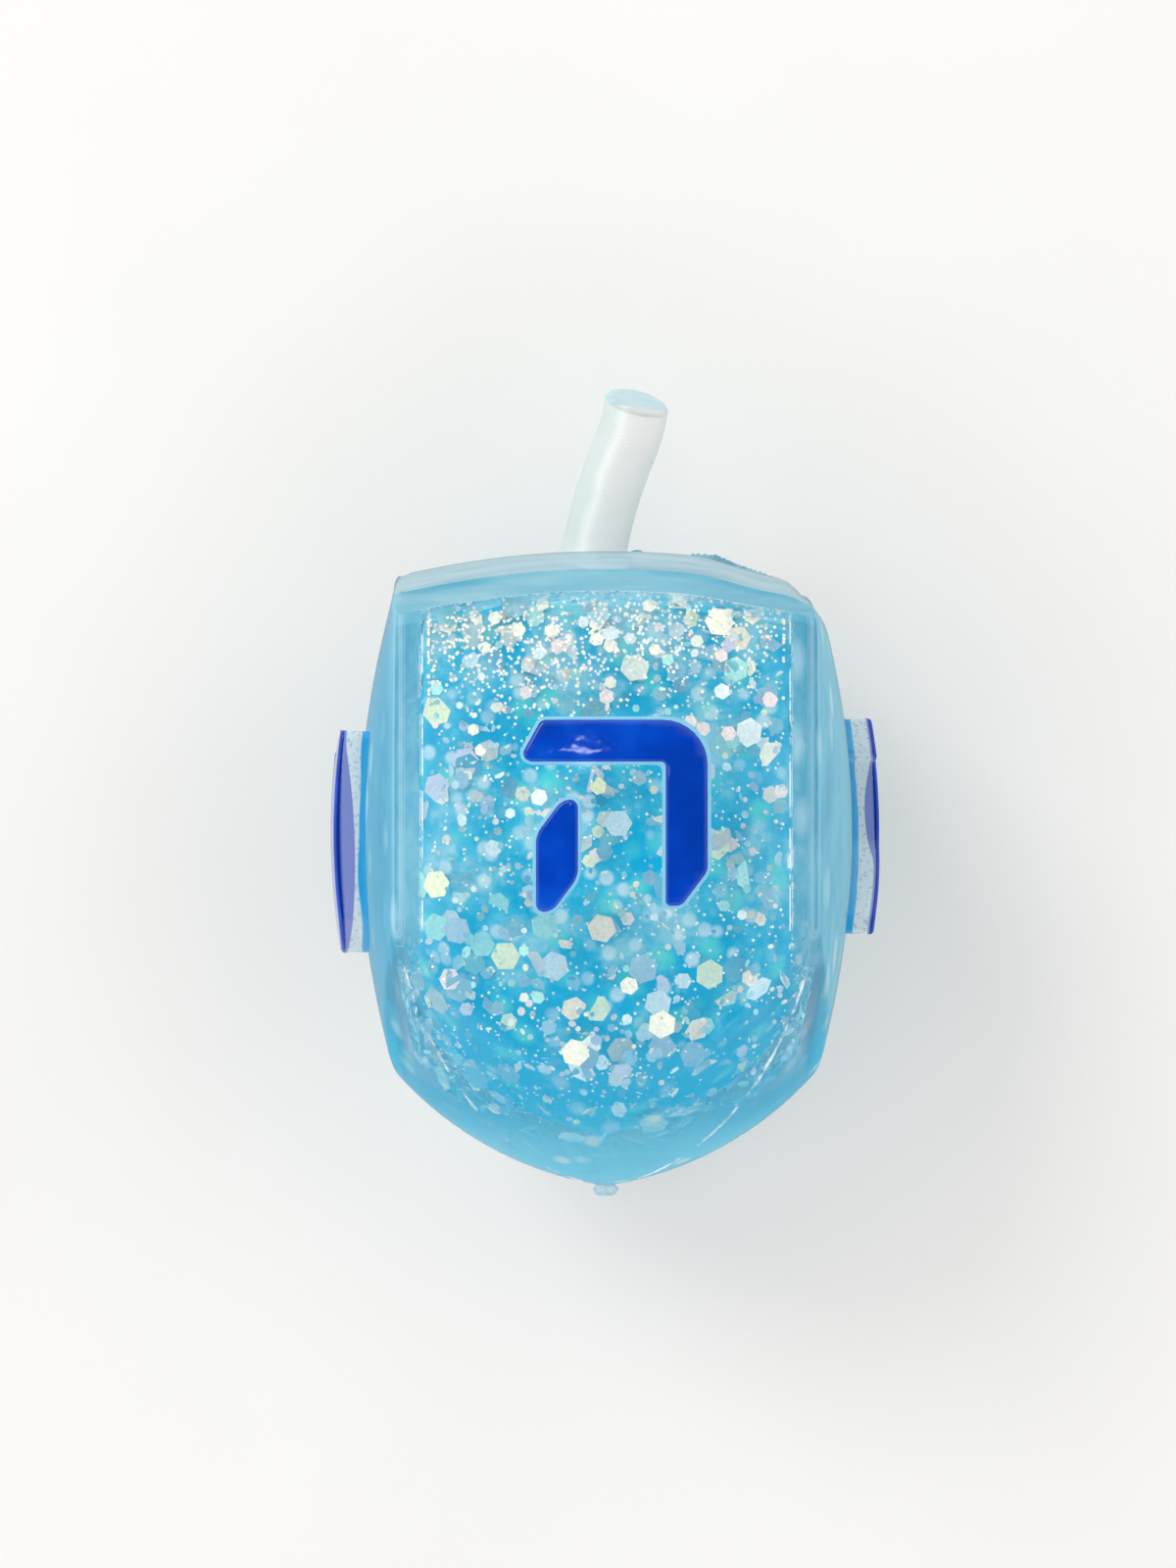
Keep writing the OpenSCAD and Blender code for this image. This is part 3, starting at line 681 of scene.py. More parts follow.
skinMaterial = mouldedTpr("mouldedClearTpr", clearRubber, wall=True)
innerMaterial = mouldedTpr("clearTprInside", dict(clearRubber, hazeFacing=0.02, hazeGrazing=0.25, gloss=0))
rimMaterial = mouldedTpr("clearTprRim", dict(clearRubber, hazeFacing=0.75, deep="#5AA9C4", haze="#6EB4CB",
                                             pale="#90C2D2", streaks=(0.15, 1.0, 0.15)))
capMaterial = mouldedTpr("clearTprCap", dict(clearRubber, hazeFacing=0.3, deep="#80ACBC", haze="#93B9C6",
                                             pale="#AFCBD5", side="#A0C2CE", streaks=(0.2, 1.0, 1.0)))
reliefMaterial = reliefTpr("clearTprRelief", reliefRubber)
glueMaterial = mouldedTpr("setClearGlue", dict(clearRubber, hazeFacing=0.3, deep="#8CC6DA", haze="#A9D8E6",
                                               pale="#D5ECF3"))
flashMaterial = mouldedTpr("tornGlueFlash", dict(clearRubber, hazeFacing=0.7, deep="#5A9DB6",
                                                 haze="#69AAC0", pale="#8FC3D3"))
# the seam ribs' bright broken white is a painted highlight
ribGleamMaterial = gleamLine("clearTprSeamGleam", seamGleam)
veilMaterial = gelSurface("waterGelSurface", gelVeil)
deepMaterial = gelDepths("waterGelDepths", gelDeep)
pearlMaterial = pearlFilm("pearlPolyesterFilm", pearl)
cutPearlMaterial = pearlFilm("pearlPolyesterHexagons", pearl, scattered=False)
paintMaterial = padPaint("padPaintBlue", paint)
stemMaterial = milkyTpr("milkyTprRod", stemRubber)
cutMaterial = milkyTpr("milkyTprCut", stemRubber, cut=True)
gleamMaterial = gleamLine("wallEdgeGleam", wallGleam)
print("materials made")


def addFrom(target, source):
    carrier = bpy.data.meshes.new("carrier")
    source.to_mesh(carrier)
    source.free()
    target.from_mesh(carrier)
    bpy.data.meshes.remove(carrier)


easing = {"drop": 1.0 * mm, "more": 1.1 * mm, "pull": 0.9 * mm,
          "up": (20, 26.5), "across": (8, 17), "corner": (17.5, 21.5)}  # where it starts and is full, in mm


def smoothShare(value, low, high):
    share = min(1.0, max(0.0, (value / mm - low) / (high - low)))
    return share * share * (3 - 2 * share)


def eased(place):
    # the top sinks towards the right, and the top right corner is rounder than the left one
    high = smoothShare(place.z, *easing["up"])
    right = smoothShare(place.x, *easing["corner"])
    sunk = easing["drop"] * smoothShare(place.x, *easing["across"]) + easing["more"] * right
    return place - Vector((easing["pull"] * high * right, 0, high * sunk))


def easeCorner(bm):
    for vert in bm.verts:
        vert.co = eased(vert.co)


def makeShell(cuts):
    outer, parts = bodyForm(body["edgeHalf"], ("tip", 0), ("dome", body["cap"]), cuts, softFold=0)
    bmesh.ops.delete(outer, geom=parts["top"], context="FACES")
    edgeRound(outer, parts["ridges"] + parts["lowEdges"], body["shellRounding"])
    inner, parts = bodyForm(innerHalf, ("tip", body["wall"]), ("dome", body["cap"]), cuts)
    bmesh.ops.delete(inner, geom=parts["top"], context="FACES")
    bmesh.ops.reverse_faces(inner, faces=inner.faces[:])
    for face in inner.faces:
        face.material_index = 1
    addFrom(outer, inner)
    easeCorner(outer)
    bmesh.ops.bridge_loops(outer, edges=[e for e in outer.edges if e.is_boundary])
    outer.transform(layDown)
    makePiece("shellClear", outer, [skinMaterial, innerMaterial], replaces=["shell"])


def makeCap(cuts):
    low = ("dome", body["cap"] - body["glue"])
    bm, parts = bodyForm(body["edgeHalf"], low, ("dome", 0), cuts, softFold=0)
    for face in parts["sides"]:
        face.material_index = 1
    edgeRound(bm, parts["topEdges"] + parts["ridges"], body["capRounding"])
    easeCorner(bm)
    bm.transform(layDown)
    makePiece("capClear", bm, [capMaterial, rimMaterial], replaces=["top_cap"])


# the opaque depths come close to the gel's surface at its edges, and lie deeper under the middle of a face
depths = {"atEdge": 0.3 * mm, "lessBulge": 1.6 * mm, "tip": 2.6 * mm, "top": 2.2 * mm}


def makeGel(cuts):
    inside = body["wall"] + body["gelGap"]
    high = ("dome", body["cap"] + body["gelGap"])
    bm, parts = bodyForm(innerHalf - body["gelGap"], ("tip", inside), high, cuts)
    edgeRound(bm, parts["topEdges"], body["gelRounding"])
    easeCorner(bm)
    bm.transform(layDown)
    makePiece("gelSurface", bm, [veilMaterial], replaces=["gel"])
    bm, parts = bodyForm(innerHalf - depths["atEdge"], ("tip", body["wall"] + depths["tip"]),
                         ("dome", body["cap"] + depths["top"]), cuts, body["bulge"] - depths["lessBulge"])
    edgeRound(bm, parts["ridges"] + parts["topEdges"], body["capRounding"])
    easeCorner(bm)
    bm.transform(layDown)
    makePiece("gelDepths", bm, [deepMaterial])


gleam = {"wide": 0.11 * mm, "beside": 0.06 * mm, "from": -9.6 * mm, "below": 0.9 * mm}


def makeGleams():
    # strips along the upright corners inside the wall, where light catches
    whole = bmesh.new()
    for k in range(4):
        for side in (-1, 1):
            bm = bmesh.new()
            bmesh.ops.create_grid(bm, x_segments=1, y_segments=60, size=0.5)
            for vert in bm.verts:
                u = side * (innerHalf - gleam["beside"] - gleam["wide"] * (vert.co.x + 0.5))
                high = domeEnd(innerHalf, body["cap"], u) - gleam["below"]
                z = gleam["from"] + (high - gleam["from"]) * (vert.co.y + 0.5)
                vert.co = (u, -faceOut(innerHalf, u, z) - 0.04 * mm, z)
            bmesh.ops.solidify(bm, geom=bm.faces[:], thickness=0.03 * mm)
            bmesh.ops.recalc_face_normals(bm, faces=bm.faces[:])
            bm.transform(Matrix.Rotation(math.radians(90 * k), 4, "Z"))
            addFrom(whole, bm)
    easeCorner(whole)
    whole.transform(layDown)
    makePiece("wallGleams", whole, [gleamMaterial])


gridCuts = 35
for make in (makeShell, makeCap, makeGel):
    make(gridCuts)
makeGleams()
print("shell, cap and gel made")


# ribs of the mould's joints down the tip, and the ragged flash over the cap
seams = {"ribWidth": 0.26 * mm, "ribFrom": 13, "ribTurn": 57, "ribSteps": 60, "ribUneven": 0.05 * mm,
         "flashFrom": 7 * mm, "flashTo": 19.5 * mm, "flashPeak": 0.35, "flashHigh": 1.05 * mm,
         "flashSunk": 0.4 * mm, "flashThick": 0.3 * mm, "bumpAt": 3.2 * mm, "bumpWide": 0.6 * mm}


def makeSeams():
    draw = random.Random(5)
    whole = bmesh.new()
    for k in range(4):
        bm = bmesh.new()
        bmesh.ops.create_circle(bm, segments=6, radius=seams["ribWidth"] / 2, cap_ends=True)
        # the circle starts near the tip, square to its arc, and is spun along it in the plane of a corner
        bmesh.ops.rotate(bm, verts=bm.verts[:], matrix=Matrix.Rotation(math.radians(90), 3, "Y"))
        bmesh.ops.translate(bm, verts=bm.verts[:], vec=(0, 0, -arcRadius))
        bmesh.ops.rotate(bm, verts=bm.verts[:], matrix=Matrix.Rotation(
            -math.radians(seams["ribFrom"]), 3, "Y"))
        bmesh.ops.translate(bm, verts=bm.verts[:], vec=(arcX, 0, arcZ))
        bmesh.ops.spin(bm, geom=bm.faces[:] + bm.edges[:], cent=(arcX, 0, arcZ), axis=(0, -1, 0),
                       angle=math.radians(seams["ribTurn"]), steps=seams["ribSteps"], use_merge=False,
                       use_duplicate=False)
        bmesh.ops.recalc_face_normals(bm, faces=bm.faces[:])
        for vert in bm.verts:
            vert.co += Vector([draw.uniform(-1, 1) for _ in range(3)]) * seams["ribUneven"]
        bm.transform(layDown @ Matrix.Rotation(math.radians(45 + 90 * k), 4, "Z"))
        addFrom(whole, bm)
    # the ribs are real; their bright broken white is a painted highlight
    makePiece("tipSeams", whole, [ribGleamMaterial])


def makeFlash():
    # glue pressed out over the cap's edge in the middle plane, torn off unevenly
    draw = random.Random(12)
    bm = bmesh.new()
    bmesh.ops.create_grid(bm, x_segments=70, y_segments=3, size=0.5)
    heights = {}
    for vert in bm.verts:
        share, up = vert.co.x + 0.5, vert.co.y + 0.5
        x = seams["flashFrom"] + (seams["flashTo"] - seams["flashFrom"]) * share
        column = round(share * 70)
        if column not in heights:
            peak = seams["flashPeak"]
            heights[column] = min(share / peak, (1 - share) / (1 - peak)) ** 0.6 + draw.uniform(-0.12, 0.12)
        rise = max(0.05, heights[column]) * seams["flashHigh"] * up
        vert.co = (x, draw.uniform(-0.04, 0.04) * mm, domeHeight(x, 0) - seams["flashSunk"] + rise)
    bmesh.ops.solidify(bm, geom=bm.faces[:], thickness=seams["flashThick"])
    easeCorner(bm)
    bump = Matrix.Translation((seams["bumpAt"], 0, domeHeight(seams["bumpAt"], 0)))
    bmesh.ops.create_icosphere(bm, subdivisions=2, radius=seams["bumpWide"],
                               matrix=bump @ Matrix.Diagonal((1, 0.5, 0.45, 1)))
    bmesh.ops.recalc_face_normals(bm, faces=bm.faces[:])
    bm.transform(layDown)
    makePiece("capFlash", bm, [flashMaterial])


makeSeams()
makeFlash()
print("seams made")


# sizes in mm; casts is the share of the list of casts that is used, fade how far the gel tints a flake
flakes = {
    "medium": {"count": 720, "width": (1.0, 1.9), "thick": 0.08, "depth": (0.2, 2.6), "sides": 6,
               "tilt": 18, "casts": 0.999, "fade": 0.85},
    "small": {"count": 2200, "width": (0.42, 0.95), "thick": 0.06, "depth": (0.15, 2.6), "sides": 6,
              "tilt": 22, "casts": 0.999, "fade": 0.85},
    "fine": {"count": 6500, "width": (0.24, 0.34), "thick": 0.04, "depth": (0.1, 2.0), "sides": 5,
             "tilt": 14, "casts": 0.6, "fade": 0.6},
    "wide": {"count": 300, "width": (2.2, 3.1), "thick": 0.08, "depth": (1.0, 2.6), "sides": 6,
             "tilt": 14, "casts": 0.999, "fade": 0.85},
}
crowdFlakes = dict(flakes["fine"], depth=(0.05, 0.3), width=(0.28, 0.42), tilt=8, casts=0.4, fade=0.22)
clusters = [(520, 640, 6.5, 260), (630, 635, 7.5, 260), (735, 640, 5.0, 130), (545, 680, 5.5, 150),
            (470, 640, 4.0, 70), (690, 620, 5.0, 120)]  # crowds of fine flakes near the front face's top
bright = [  # the flakes that catch the eye in the photograph: pixel, width, cast, how far faded
    (735, 633, 3.0, "cream", 0.0), (755, 650, 2.6, "peach", 0.1), (648, 680, 3.0, "cream", 0.25),
    (455, 635, 2.0, "cream", 0.1), (436, 725, 3.0, "yellow", 0.2), (438, 803, 2.8, "lilac", 0.3),
    (438, 903, 2.9, "yellow", 0.05), (437, 947, 2.8, "mint", 0.35), (465, 950, 2.8, "grey", 0.35),
    (490, 965, 2.6, "mint", 0.5), (766, 747, 3.0, "white", 0.2), (752, 682, 2.6, "mint", 0.15),
    (631, 840, 2.8, "silver", 0.35), (555, 945, 2.8, "mint", 0.5), (614, 948, 2.9, "peach", 0.25),
    (657, 990, 3.0, "grey", 0.4), (672, 1025, 2.8, "silver", 0.35), (725, 995, 3.0, "yellow", 0.35),
    (676, 1047, 2.9, "cream", 0.05), (587, 1076, 2.9, "cream", 0.0), (790, 650, 2.8, "grey", 0.45),
]
discs = {  # and the middle-sized ones, by cast
    "cream": [(553, 614), (528, 641), (562, 642), (494, 660), (481, 744), (488, 765), (504, 629), (485, 629),
              (609, 634), (663, 616), (695, 608), (769, 626), (669, 661), (712, 653), (623, 695), (609, 651),
              (623, 657), (745, 624)],
    "pink": [(569, 658), (536, 706), (737, 668), (619, 710), (706, 735), (719, 743), (745, 748), (788, 713)],
    "mint": [(443, 702), (682, 672)],
}


# how far out and down flakes may lie on the gel's sides, and what share lies on the faces and on the tip
spread = {"faceShare": 0.965, "topShare": 0.95, "faceLow": -28 * mm, "belowCap": 0.5 * mm,
          "tipSlopes": (10, 52), "onFaces": 0.84, "onTip": 0.06, "clusterHalf": 17.6 * mm,
          "brightHalf": 16.9 * mm}


def underWall(u, z):
    # place and outward normal on the inside of the front wall and of the tip below it
    def out(u, z):
        reach = tipReach(min(z, arcZ), body["wall"])
        return min(faceOut(innerHalf, u, z), math.sqrt(max(0.0, reach ** 2 - u ** 2)))

    step = 0.2 * mm
    here = out(u, z)
    across = (out(u + step, z) - out(u - step, z)) / step / 2
    up = (out(u, z + step) - out(u, z - step)) / step / 2
    return Vector((u, -here, z)), Vector((-across, -1, -up)).normalized()


def roomUnder(u, z):
    # how deep a flake may lie before the opaque depths
    swell = (1 - (u / innerHalf) ** 2) * max(0, 1 - (z / body["bulgeHalf"]) ** 2)
    return depths["atEdge"] + depths["lessBulge"] * swell


def onFace(draw, k=None, u=None, z=None):
    k = draw.randrange(4) if k is None else k
    most = spread["faceShare"]
    u = draw.uniform(-most, most) * innerHalf if u is None else u
    high = domeEnd(innerHalf, body["cap"], u) - spread["belowCap"]
    z = draw.uniform(spread["faceLow"], high) if z is None else min(z, high)
    place, normal = underWall(u, z)
    if -place.y < abs(u) - 0.4 * mm or draw.random() > -1.3 * normal.y - 0.25:
        return onFace(draw)
    turn = Matrix.Rotation(math.radians(90 * k), 3, "Z")
    return turn @ place, turn @ normal, roomUnder(u, z)


def onTip(draw):
    while True:
        slope = math.radians(draw.uniform(*spread["tipSlopes"]))
        if draw.random() > math.sin(slope):
            continue
        way = Matrix.Rotation(draw.uniform(0, 2 * math.pi), 3, "Z") @ Vector((1, 0, 0))
        reach = arcX + (arcRadius - body["wall"]) * math.sin(slope)
        z = arcZ - (arcRadius - body["wall"]) * math.cos(slope)
        if reach > 0.5 * mm:
            normal = way * math.sin(slope) - Vector((0, 0, math.cos(slope)))
            return way * reach + Vector((0, 0, z)), normal, depths["tip"]


def onTop(draw):
    most = spread["topShare"] * innerHalf
    x, y = draw.uniform(-most, most), draw.uniform(-most, most)
    return Vector((x, y, domeHeight(math.hypot(x, y), body["cap"]))), Vector((0, 0, 1)), depths["top"]


def anyPlace(draw):
    region = draw.random()
    if region < spread["onFaces"]:
        return onFace(draw)
    return (onTip if region < spread["onFaces"] + spread["onTip"] else onTop)(draw)


def inCluster(draw, px, py, width):
    u, z = fromPhoto(px, py, 23 * mm)
    most = spread["clusterHalf"]
    u = min(max(draw.gauss(u, width * mm), -most), most)
    return onFace(draw, 0, u, draw.gauss(z, width * 0.55 * mm))


def addFlake(bm, place, normal, lean, width, settings, cast, sunk):
    turned = normal.to_track_quat("Z", "Y").to_matrix() @ lean.to_matrix()
    made = bmesh.ops.create_cone(
        bm, cap_ends=True, cap_tris=False, segments=settings["sides"], radius1=width / 2, radius2=width / 2,
        depth=settings["thick"] * mm, matrix=layDown @ Matrix.Translation(eased(place)) @ turned.to_4x4())
    for vert in made["verts"]:
        vert[bm.verts.layers.float["sunk"]] = sunk
        vert[bm.verts.layers.float["cast"]] = cast


def flakeLean(draw, tilt):
    return Euler([math.radians(draw.gauss(0, tilt)) for _ in range(2)] + [draw.uniform(0, 6.3)])


def newFlakes():
    bm = bmesh.new()
    bm.verts.layers.float.new("sunk")
    bm.verts.layers.float.new("cast")
    return bm


def scatterFlakes(name, settings, spots, seed):
    draw = random.Random(seed)
    whole, batch = newFlakes(), newFlakes()
    low, high = settings["depth"]
    for index, (place, normal, room) in enumerate(spots(draw)):
        depth = min(low + (high - low) * draw.random() ** 1.4, room / mm - 0.1)
        fade = min(1, 0.14 * depth + settings["fade"] * draw.random() ** 1.2)
        addFlake(batch, place - normal * depth * mm, normal, flakeLean(draw, settings["tilt"]),
                 draw.uniform(*settings["width"]) * mm, settings, draw.random() * settings["casts"], fade)
        if index % 150 == 149:
            addFrom(whole, batch)
            batch = newFlakes()
    addFrom(whole, batch)
    makePiece(name, whole, [pearlMaterial], smooth=False)


def placeFlakes():
    draw = random.Random(7)
    bm = newFlakes()
    names = list(pearl["casts"])
    chosen = bright + [(px, py, draw.uniform(1.2, 1.7), cast, draw.uniform(0, 0.12))
                       for cast, spots in discs.items() for px, py in spots]
    most = spread["brightHalf"]
    for px, py, width, cast, sunk in chosen:
        u, z = fromPhoto(px, py, 22 * mm)
        place, normal = underWall(min(max(u, -most), most), z)
        place -= normal * (0.2 + 0.5 * draw.random()) * mm
        addFlake(bm, place, normal, flakeLean(draw, 5), width * mm, flakes["medium"],
                 (names.index(cast) + 0.5) / len(names), sunk)
    makePiece("glitterBright", bm, [pearlMaterial], smooth=False)


for seed, (kind, settings) in enumerate(flakes.items()):
    scatterFlakes("glitter" + kind.capitalize(), settings,
                  lambda draw: (anyPlace(draw) for _ in range(settings["count"])), 20 + seed)
scatterFlakes("glitterCrowds", crowdFlakes, lambda draw: (
    inCluster(draw, px, py, width) for px, py, width, count in clusters for _ in range(count)), 41)
placeFlakes()
for name in ("glitter_large", "glitter_medium"):
    frame["nodes"][name].data.materials.clear()
    frame["nodes"][name].data.materials.append(cutPearlMaterial)
print("glitter scattered")


# clear reliefs with paint on their tops, in mm
letter = {
    "stroke": 4.35,
    "corner": 0.95,
    "bend": 4.4,
    "relief": 2.6,
    "domeRadius": 72.0,
    "paint": 0.3,
    "rounding": (0.35, 0.25),  # of the paint and of the relief, and how far each is drawn in
    "inset": {"he": (0.12, -0.2), "gimel": (0.0, 0.08), "nun": (0.1, -0.1), "shin": (0.0, 0.08)},
    "sunk": 0.15,              # the relief's foot, into the shell
    "side": 0.6,               # how far the paint comes down, and where more: most, middle, half its length
    "run": {"shin": (1.5, -1.5, 10.5), "gimel": (0.9, 2.0, 5.0)},
}


def barEnd(x, high):
    s, r = letter["stroke"], letter["corner"]
    return [(x + 0.15 * s, high - s, r), (x, high - 0.8 * s, r), (x + 0.45 * s, high, r)]


def legFoot(x, low):
    s, r = letter["stroke"], letter["corner"]
    return [(x, low + 0.8 * s, r), (x - 0.6 * s, low, r), (x - s, low, r)]


def uprightTop(x, high):
    s, r = letter["stroke"], letter["corner"]
    return [(x, high - 0.8 * s, r), (x + 0.6 * s, high, r), (x + s, high, r)]


def letterOutlines():
    s, r, b = letter["stroke"], letter["corner"], letter["bend"]
    return {
        "he": (0, [
            barEnd(-8.4, 11.3) + [(10, 11.3, b)] + legFoot(10, -7.1) + [(10 - s, 11.3 - s, r)],
            uprightTop(-7, 3.5) + legFoot(-7 + s, -7.7)]),
        "gimel": (1, [
            barEnd(-3.2, 11.6) + [(5.2, 11.6, b)] + legFoot(5.2, -10.3)
            + [(5.2 - s, -10.3 + 0.75 * s, 0.3), (-6.2 + 0.6 * s, -10.3, r), (-6.2, -10.3, r),
               (-6.2, -10.3 + 0.5 * s, r), (5.2 - s, -10.3 + 2.1 * s, r), (5.2 - s, 11.6 - s, r)]]),
        "nun": (2, [
            barEnd(-3.6, 10) + [(5.4, 10, b), (5.4, -10, b), (-6.4, -10, r), (-5.2, -10 + s, r),
                                (5.4 - s, -10 + s, r), (5.4 - s, 10 - s, r)]]),
        "shin": (3, [
            uprightTop(-10, 10.3) + [(-10 + s, -12.2 + s, r), (-3.4, -12.2 + s, r)] + uprightTop(-s / 2, 8.3)
            + [(1.4, -12.2 + s, r), (10 - s, -12.2 + s, r)] + uprightTop(10 - s, 10.3)
            + [(10, -12.2, b), (-10, -12.2, b)]]),
    }


def crown(x, y, extra=0.0):
    # the domed top of a relief, above the spin axis
    sag = letter["domeRadius"] - math.sqrt(letter["domeRadius"] ** 2 - (x * x + y * y) / mm ** 2)
    return (reliefTop + extra - sag) * mm


def drawnIn(corners, inset):
    # the outline with its sides moved inwards, or outwards for a negative inset
    points = [Vector((x, y)) for x, y, _ in corners]
    area = sum(a.x * b.y - b.x * a.y for a, b in zip(points, points[1:] + points[:1]))
    turn = math.copysign(1, area)
    made = []
    for i, point in enumerate(points):
        before = (point - points[i - 1]).normalized()
        after = (points[(i + 1) % len(points)] - point).normalized()
        side = Vector((-before.y, before.x)) * turn
        middle = (side + Vector((-after.y, after.x)) * turn).normalized()
        made.append((*(point + middle * inset / max(0.4, middle.dot(side))), corners[i][2]))
    return made


def raisedOutline(outlines, inset, lowOf, topOf, rounding):
    # outline with rounded corners, raised, its rim rounded, then cut into a grid and pulled to its surfaces
    whole = bmesh.new()
    whole.verts.layers.float.new("rise")
    whole.verts.layers.float.new("rim")
    block = 4 * mm
    for corners in (drawnIn(outline, inset) for outline in outlines):
        bm = bmesh.new()
        rise = bm.verts.layers.float.new("rise")
        rimShare = bm.verts.layers.float.new("rim")
        verts = [bm.verts.new((x * mm, y * mm, 0)) for x, y, _ in corners]
        bm.faces.new(verts)
        for radius in sorted({r for _, _, r in corners}, reverse=True):
            picked = [v for v, (_, _, r) in zip(verts, corners) if r == radius]
            bmesh.ops.bevel(bm, geom=picked, offset=radius * mm, segments=8 if radius > 2 else 5,
                            affect="VERTICES", profile=0.5, clamp_overlap=True, material=-1)
        raised = bmesh.ops.extrude_face_region(bm, geom=bm.faces[:])["geom"]
        lifted = [v for v in raised if isinstance(v, bmesh.types.BMVert)]
        bmesh.ops.translate(bm, vec=(0, 0, block), verts=lifted)
        bmesh.ops.recalc_face_normals(bm, faces=bm.faces[:])
        rim = [e for e in bm.edges if min(v.co.z for v in e.verts) > block / 2]
        edgeRound(bm, rim, rounding * mm, 4)
        for step in range(-13, 14):
            for normal in ((1, 0, 0), (0, 1, 0)):
                bmesh.ops.bisect_plane(bm, geom=bm.verts[:] + bm.edges[:] + bm.faces[:], dist=1e-6,
                                       plane_co=Vector(normal) * (step + 0.37) * mm, plane_no=normal)
        for vert in bm.verts:
            x, y, z = vert.co
            # how far down the rounded rim a point lies, which the paint uses for its painted dark line and
            # painted sheen
            vert[rimShare] = min(3, (block - z) / rounding / mm)
            vert.co.z = lowOf(x, y) if z < block / 4 else topOf(x, y) - (block - z)
            vert[rise] = vert.co.z - faceOut(body["edgeHalf"], x, y)
        addFrom(whole, bm)
    return whole


def ontoFace(bm, k):
    turned = Matrix.Rotation(math.radians(90 * k), 4, "Z") @ Matrix.Rotation(math.radians(90), 4, "X")
    bm.transform(layDown @ turned)


faceTop = (body["edgeHalf"] + body["bulge"]) / mm
reliefTop = faceTop + letter["relief"]
for name, (k, outlines) in letterOutlines().items():
    flat = axisHeight if k == 2 else 1.0
    deepest, middle, half = letter["run"].get(name, (0.0, 0.0, 1.0))
    paintInset, reliefInset = letter["inset"][name]
    relief = raisedOutline(outlines, reliefInset,
                           lambda x, y: faceOut(body["edgeHalf"], x, y) - letter["sunk"] * mm,
                           lambda x, y: min(crown(x, y), flat - letter["paint"] * mm), letter["rounding"][1])
    ontoFace(relief, k)
    makePiece("relief" + name.capitalize(), relief, [reliefMaterial])
    film = raisedOutline(outlines, paintInset,
                         lambda x, y: min(crown(x, y, letter["paint"]), flat)
                         - (letter["side"] + deepest * max(0, 1 - ((y / mm - middle) / half) ** 2)) * mm,
                         lambda x, y: min(crown(x, y, letter["paint"]), flat), letter["rounding"][0])
    ontoFace(film, k)
    makePiece("paint" + name.capitalize(), film, [paintMaterial],
              replaces=["letter_" + name])
print("letters raised")


stem = {
    "width": 6.6 * mm,
    "low": 9.0 * mm,
    "high": 4.8 * mm,
    "lean": 12,    # degrees: at the foot, then more, then less
    "more": 11,
    "less": 16,
    "tilt": 4,
    "slant": 19,   # of the cut end, to the front and to the right
    "fall": 7,
    "root": 3.6 * mm,
    "flare": 0.7 * mm,
    "rootRings": 8,
    "bendSteps": 14,
    "cutRings": ((0.3, 0.28), (0.5, 0.1), (0.5, -0.04), (0.5, 0.05), (0.5, -0.04)),  # inwards and up, mm
    "bends": (-2.4 * mm, 6.0 * mm),  # the stretch that bends with the joint, from the foot
}


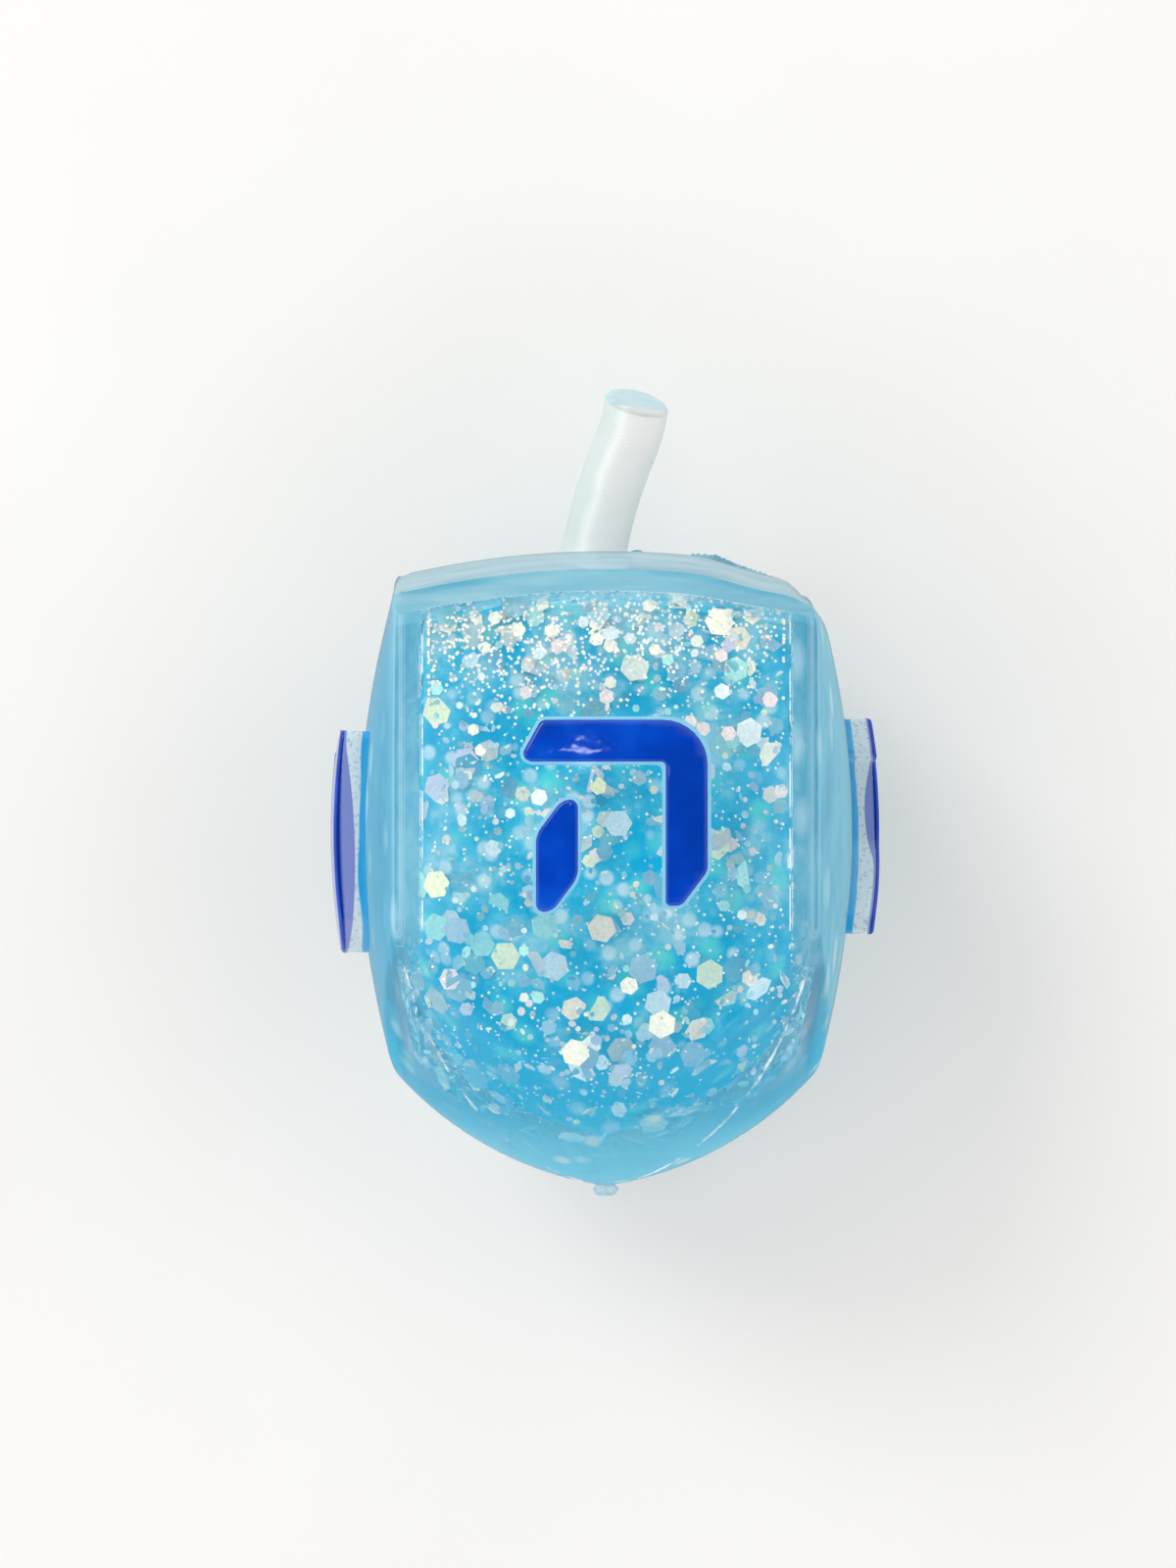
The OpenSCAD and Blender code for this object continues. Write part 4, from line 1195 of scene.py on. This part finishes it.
def makeStem():
    # a ring drawn up through the flared root, spun through two bends and closed by rings on the cut end
    bm = bmesh.new()
    radius = stem["width"] / 2
    # how far across the rod from left to right a point lies, for its painted light and shade
    side = bm.verts.layers.float.new("side")
    bmesh.ops.create_circle(bm, segments=56, radius=radius + stem["flare"])
    for vert in bm.verts:
        vert[side] = 0.5 + 0.5 * vert.co.x / (radius + stem["flare"])
    bmesh.ops.translate(bm, verts=bm.verts[:], vec=(0, 0, -stem["root"]))
    bmesh.ops.contextual_create(bm, geom=bm.edges[:])
    ring = bm.edges[:]
    for part in range(stem["rootRings"]):
        share = (part + 1) / stem["rootRings"]
        made = bmesh.ops.extrude_edge_only(bm, edges=ring)["geom"]
        ring = [e for e in made if isinstance(e, bmesh.types.BMEdge)]
        for vert in (v for v in made if isinstance(v, bmesh.types.BMVert)):
            out = radius + stem["flare"] * (1 - share) ** 3
            vert.co = vert.co.xy.normalized().to_3d() * out
            vert.co.z = -stem["root"] * (1 - share)
    lean, centre = 0.0, Vector()
    for length, angle, way in ((stem["low"], stem["more"], 1), (stem["high"], stem["less"], -1)):
        bend = length / math.radians(angle)
        pivot = centre + Vector((math.cos(lean), 0, -math.sin(lean))) * way * bend
        made = bmesh.ops.spin(bm, geom=ring, cent=pivot, axis=(0, way, 0), angle=math.radians(angle),
                              steps=stem["bendSteps"], use_merge=False, use_duplicate=False)["geom_last"]
        ring = [e for e in made if isinstance(e, bmesh.types.BMEdge)]
        centre = pivot + Matrix.Rotation(way * math.radians(angle), 3, "Y") @ (centre - pivot)
        lean += way * math.radians(angle)
    heading = Vector((math.sin(lean), 0, math.cos(lean)))
    beside = Vector((heading.z, 0, -heading.x))
    for vert in {v for e in ring for v in e.verts}:
        vert.co += heading * (vert.co.y * math.tan(math.radians(stem["slant"]))
                              - (vert.co - centre).dot(beside) * math.tan(math.radians(stem["fall"])))
    cap = bmesh.ops.contextual_create(bm, geom=ring)["faces"]
    for face in cap:
        face.material_index = 1
    for inwards, rise in stem["cutRings"]:
        bmesh.ops.inset_region(bm, faces=cap, thickness=inwards * mm, depth=rise * mm, use_even_offset=True)
    bmesh.ops.recalc_face_normals(bm, faces=bm.faces[:])
    leaned = Matrix.Rotation(math.radians(stem["lean"]), 4, "Y")
    tilted = Matrix.Rotation(math.radians(stem["tilt"]), 4, "X")
    bm.transform(layDown @ Matrix.Translation((stemFoot.x, 0, stemFoot.y)) @ leaned @ tilted)
    piece = makePiece("stemMilky", bm, [stemMaterial, cutMaterial], rides=None,
                      replaces=["stem"])
    start, end = (stemFoot + Vector((0, up, 0)) for up in stem["bends"])
    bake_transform(piece, "body", "stem", start=tuple(start), end=tuple(end))


nub = {"radius": 1.25 * mm, "flatness": 0.55, "below": 0.35 * mm, "uneven": 0.1,
       "waves": (4100, 3300)}  # turns of the unevenness, in radians per metre


def makeNub():
    # blob of set glue on the filling hole, uneven
    draw = random.Random(3)
    bm = bmesh.new()
    bmesh.ops.create_icosphere(bm, subdivisions=3, radius=nub["radius"])
    for vert in bm.verts:
        wave = math.sin(nub["waves"][0] * vert.co.x + 2) * math.cos(nub["waves"][1] * vert.co.z)
        vert.co *= 1 + nub["uneven"] * wave + draw.uniform(-0.02, 0.02)
        vert.co.z = vert.co.z * nub["flatness"] - body["tipDepth"] - nub["below"]
    bm.transform(layDown)
    makePiece("nubGlue", bm, [glueMaterial], replaces=["filler_plug"])


makeStem()
makeNub()
print("stem and nub made")


table = {"half": 6.0, "cloudSize": 111.11 * mm, "tones": ("#EFEDEA", "#F6F4F1")}


def makeStage():
    # pale matt table top, hardly clouded
    bm = bmesh.new()
    bmesh.ops.create_grid(bm, x_segments=2, y_segments=2, size=table["half"])
    material, tree = newMaterial("paleTable")
    place = addNode(tree, "TexCoord").outputs["Object"]
    cloud = addNode(tree, "TexNoise", {"Scale": 1 / table["cloudSize"], "Detail": 4.0}, {"Vector": place})
    tone = addNode(tree, "ValToRGB", links={0: cloud})
    setStops(tone.color_ramp, list(zip((0.3, 0.7), table["tones"])))
    shader = addNode(tree, "BsdfPrincipled", {"Roughness": 0.75, "Specular IOR Level": 0.2},
                     {"Base Color": tone})
    addNode(tree, "OutputMaterial", links={0: shader})
    makePiece("tableTop", bm, [material], rides=None)


lamps = {
    "softboxLeft": {"shape": "DISK", "size": 0.45, "energy": 2.9, "place": (-0.55, 0.6, 0.7)},
    "stripAbove": {"shape": "RECTANGLE", "size": 0.07, "size_y": 0.022, "energy": 0.085,
                   "place": (-0.045, 0.125, 0.66)},
}


def addLamp(name, place, **settings):
    data = bpy.data.lights.new(name, "AREA")
    for key, value in settings.items():
        setattr(data, key, value)
    lamp = bpy.data.objects.new(name, data)
    lamp.location = place
    lamp.rotation_euler = (Vector((0, 0, axisHeight)) - lamp.location).to_track_quat("-Z", "Y").to_euler()
    bpy.context.scene.collection.objects.link(lamp)


sky = {"high": "#26282A", "middle": "#F8F8F8", "low": "#FFFFFF", "strength": 1.29}


def makeSky():
    # a pale room with a darker ceiling, so that gloss stays clear on upward faces
    world = bpy.data.worlds.new("studio")
    world.use_nodes = True
    tree = world.node_tree
    tree.nodes.clear()
    way = addNode(tree, "TexCoord").outputs["Generated"]
    height = addNode(tree, "SeparateXYZ", links={0: way}).outputs["Z"]
    tone = addNode(tree, "ValToRGB", links={0: height})
    setStops(tone.color_ramp, [(0.0, sky["low"]), (0.8, sky["middle"]), (0.93, sky["high"])])
    light = addNode(tree, "Background", {"Strength": sky["strength"]}, {"Color": tone})
    addNode(tree, "OutputWorld", links={0: light})
    bpy.context.scene.world = world


makeStage()
makeSky()
for name, settings in lamps.items():
    addLamp(name, **settings)
print("stage set")
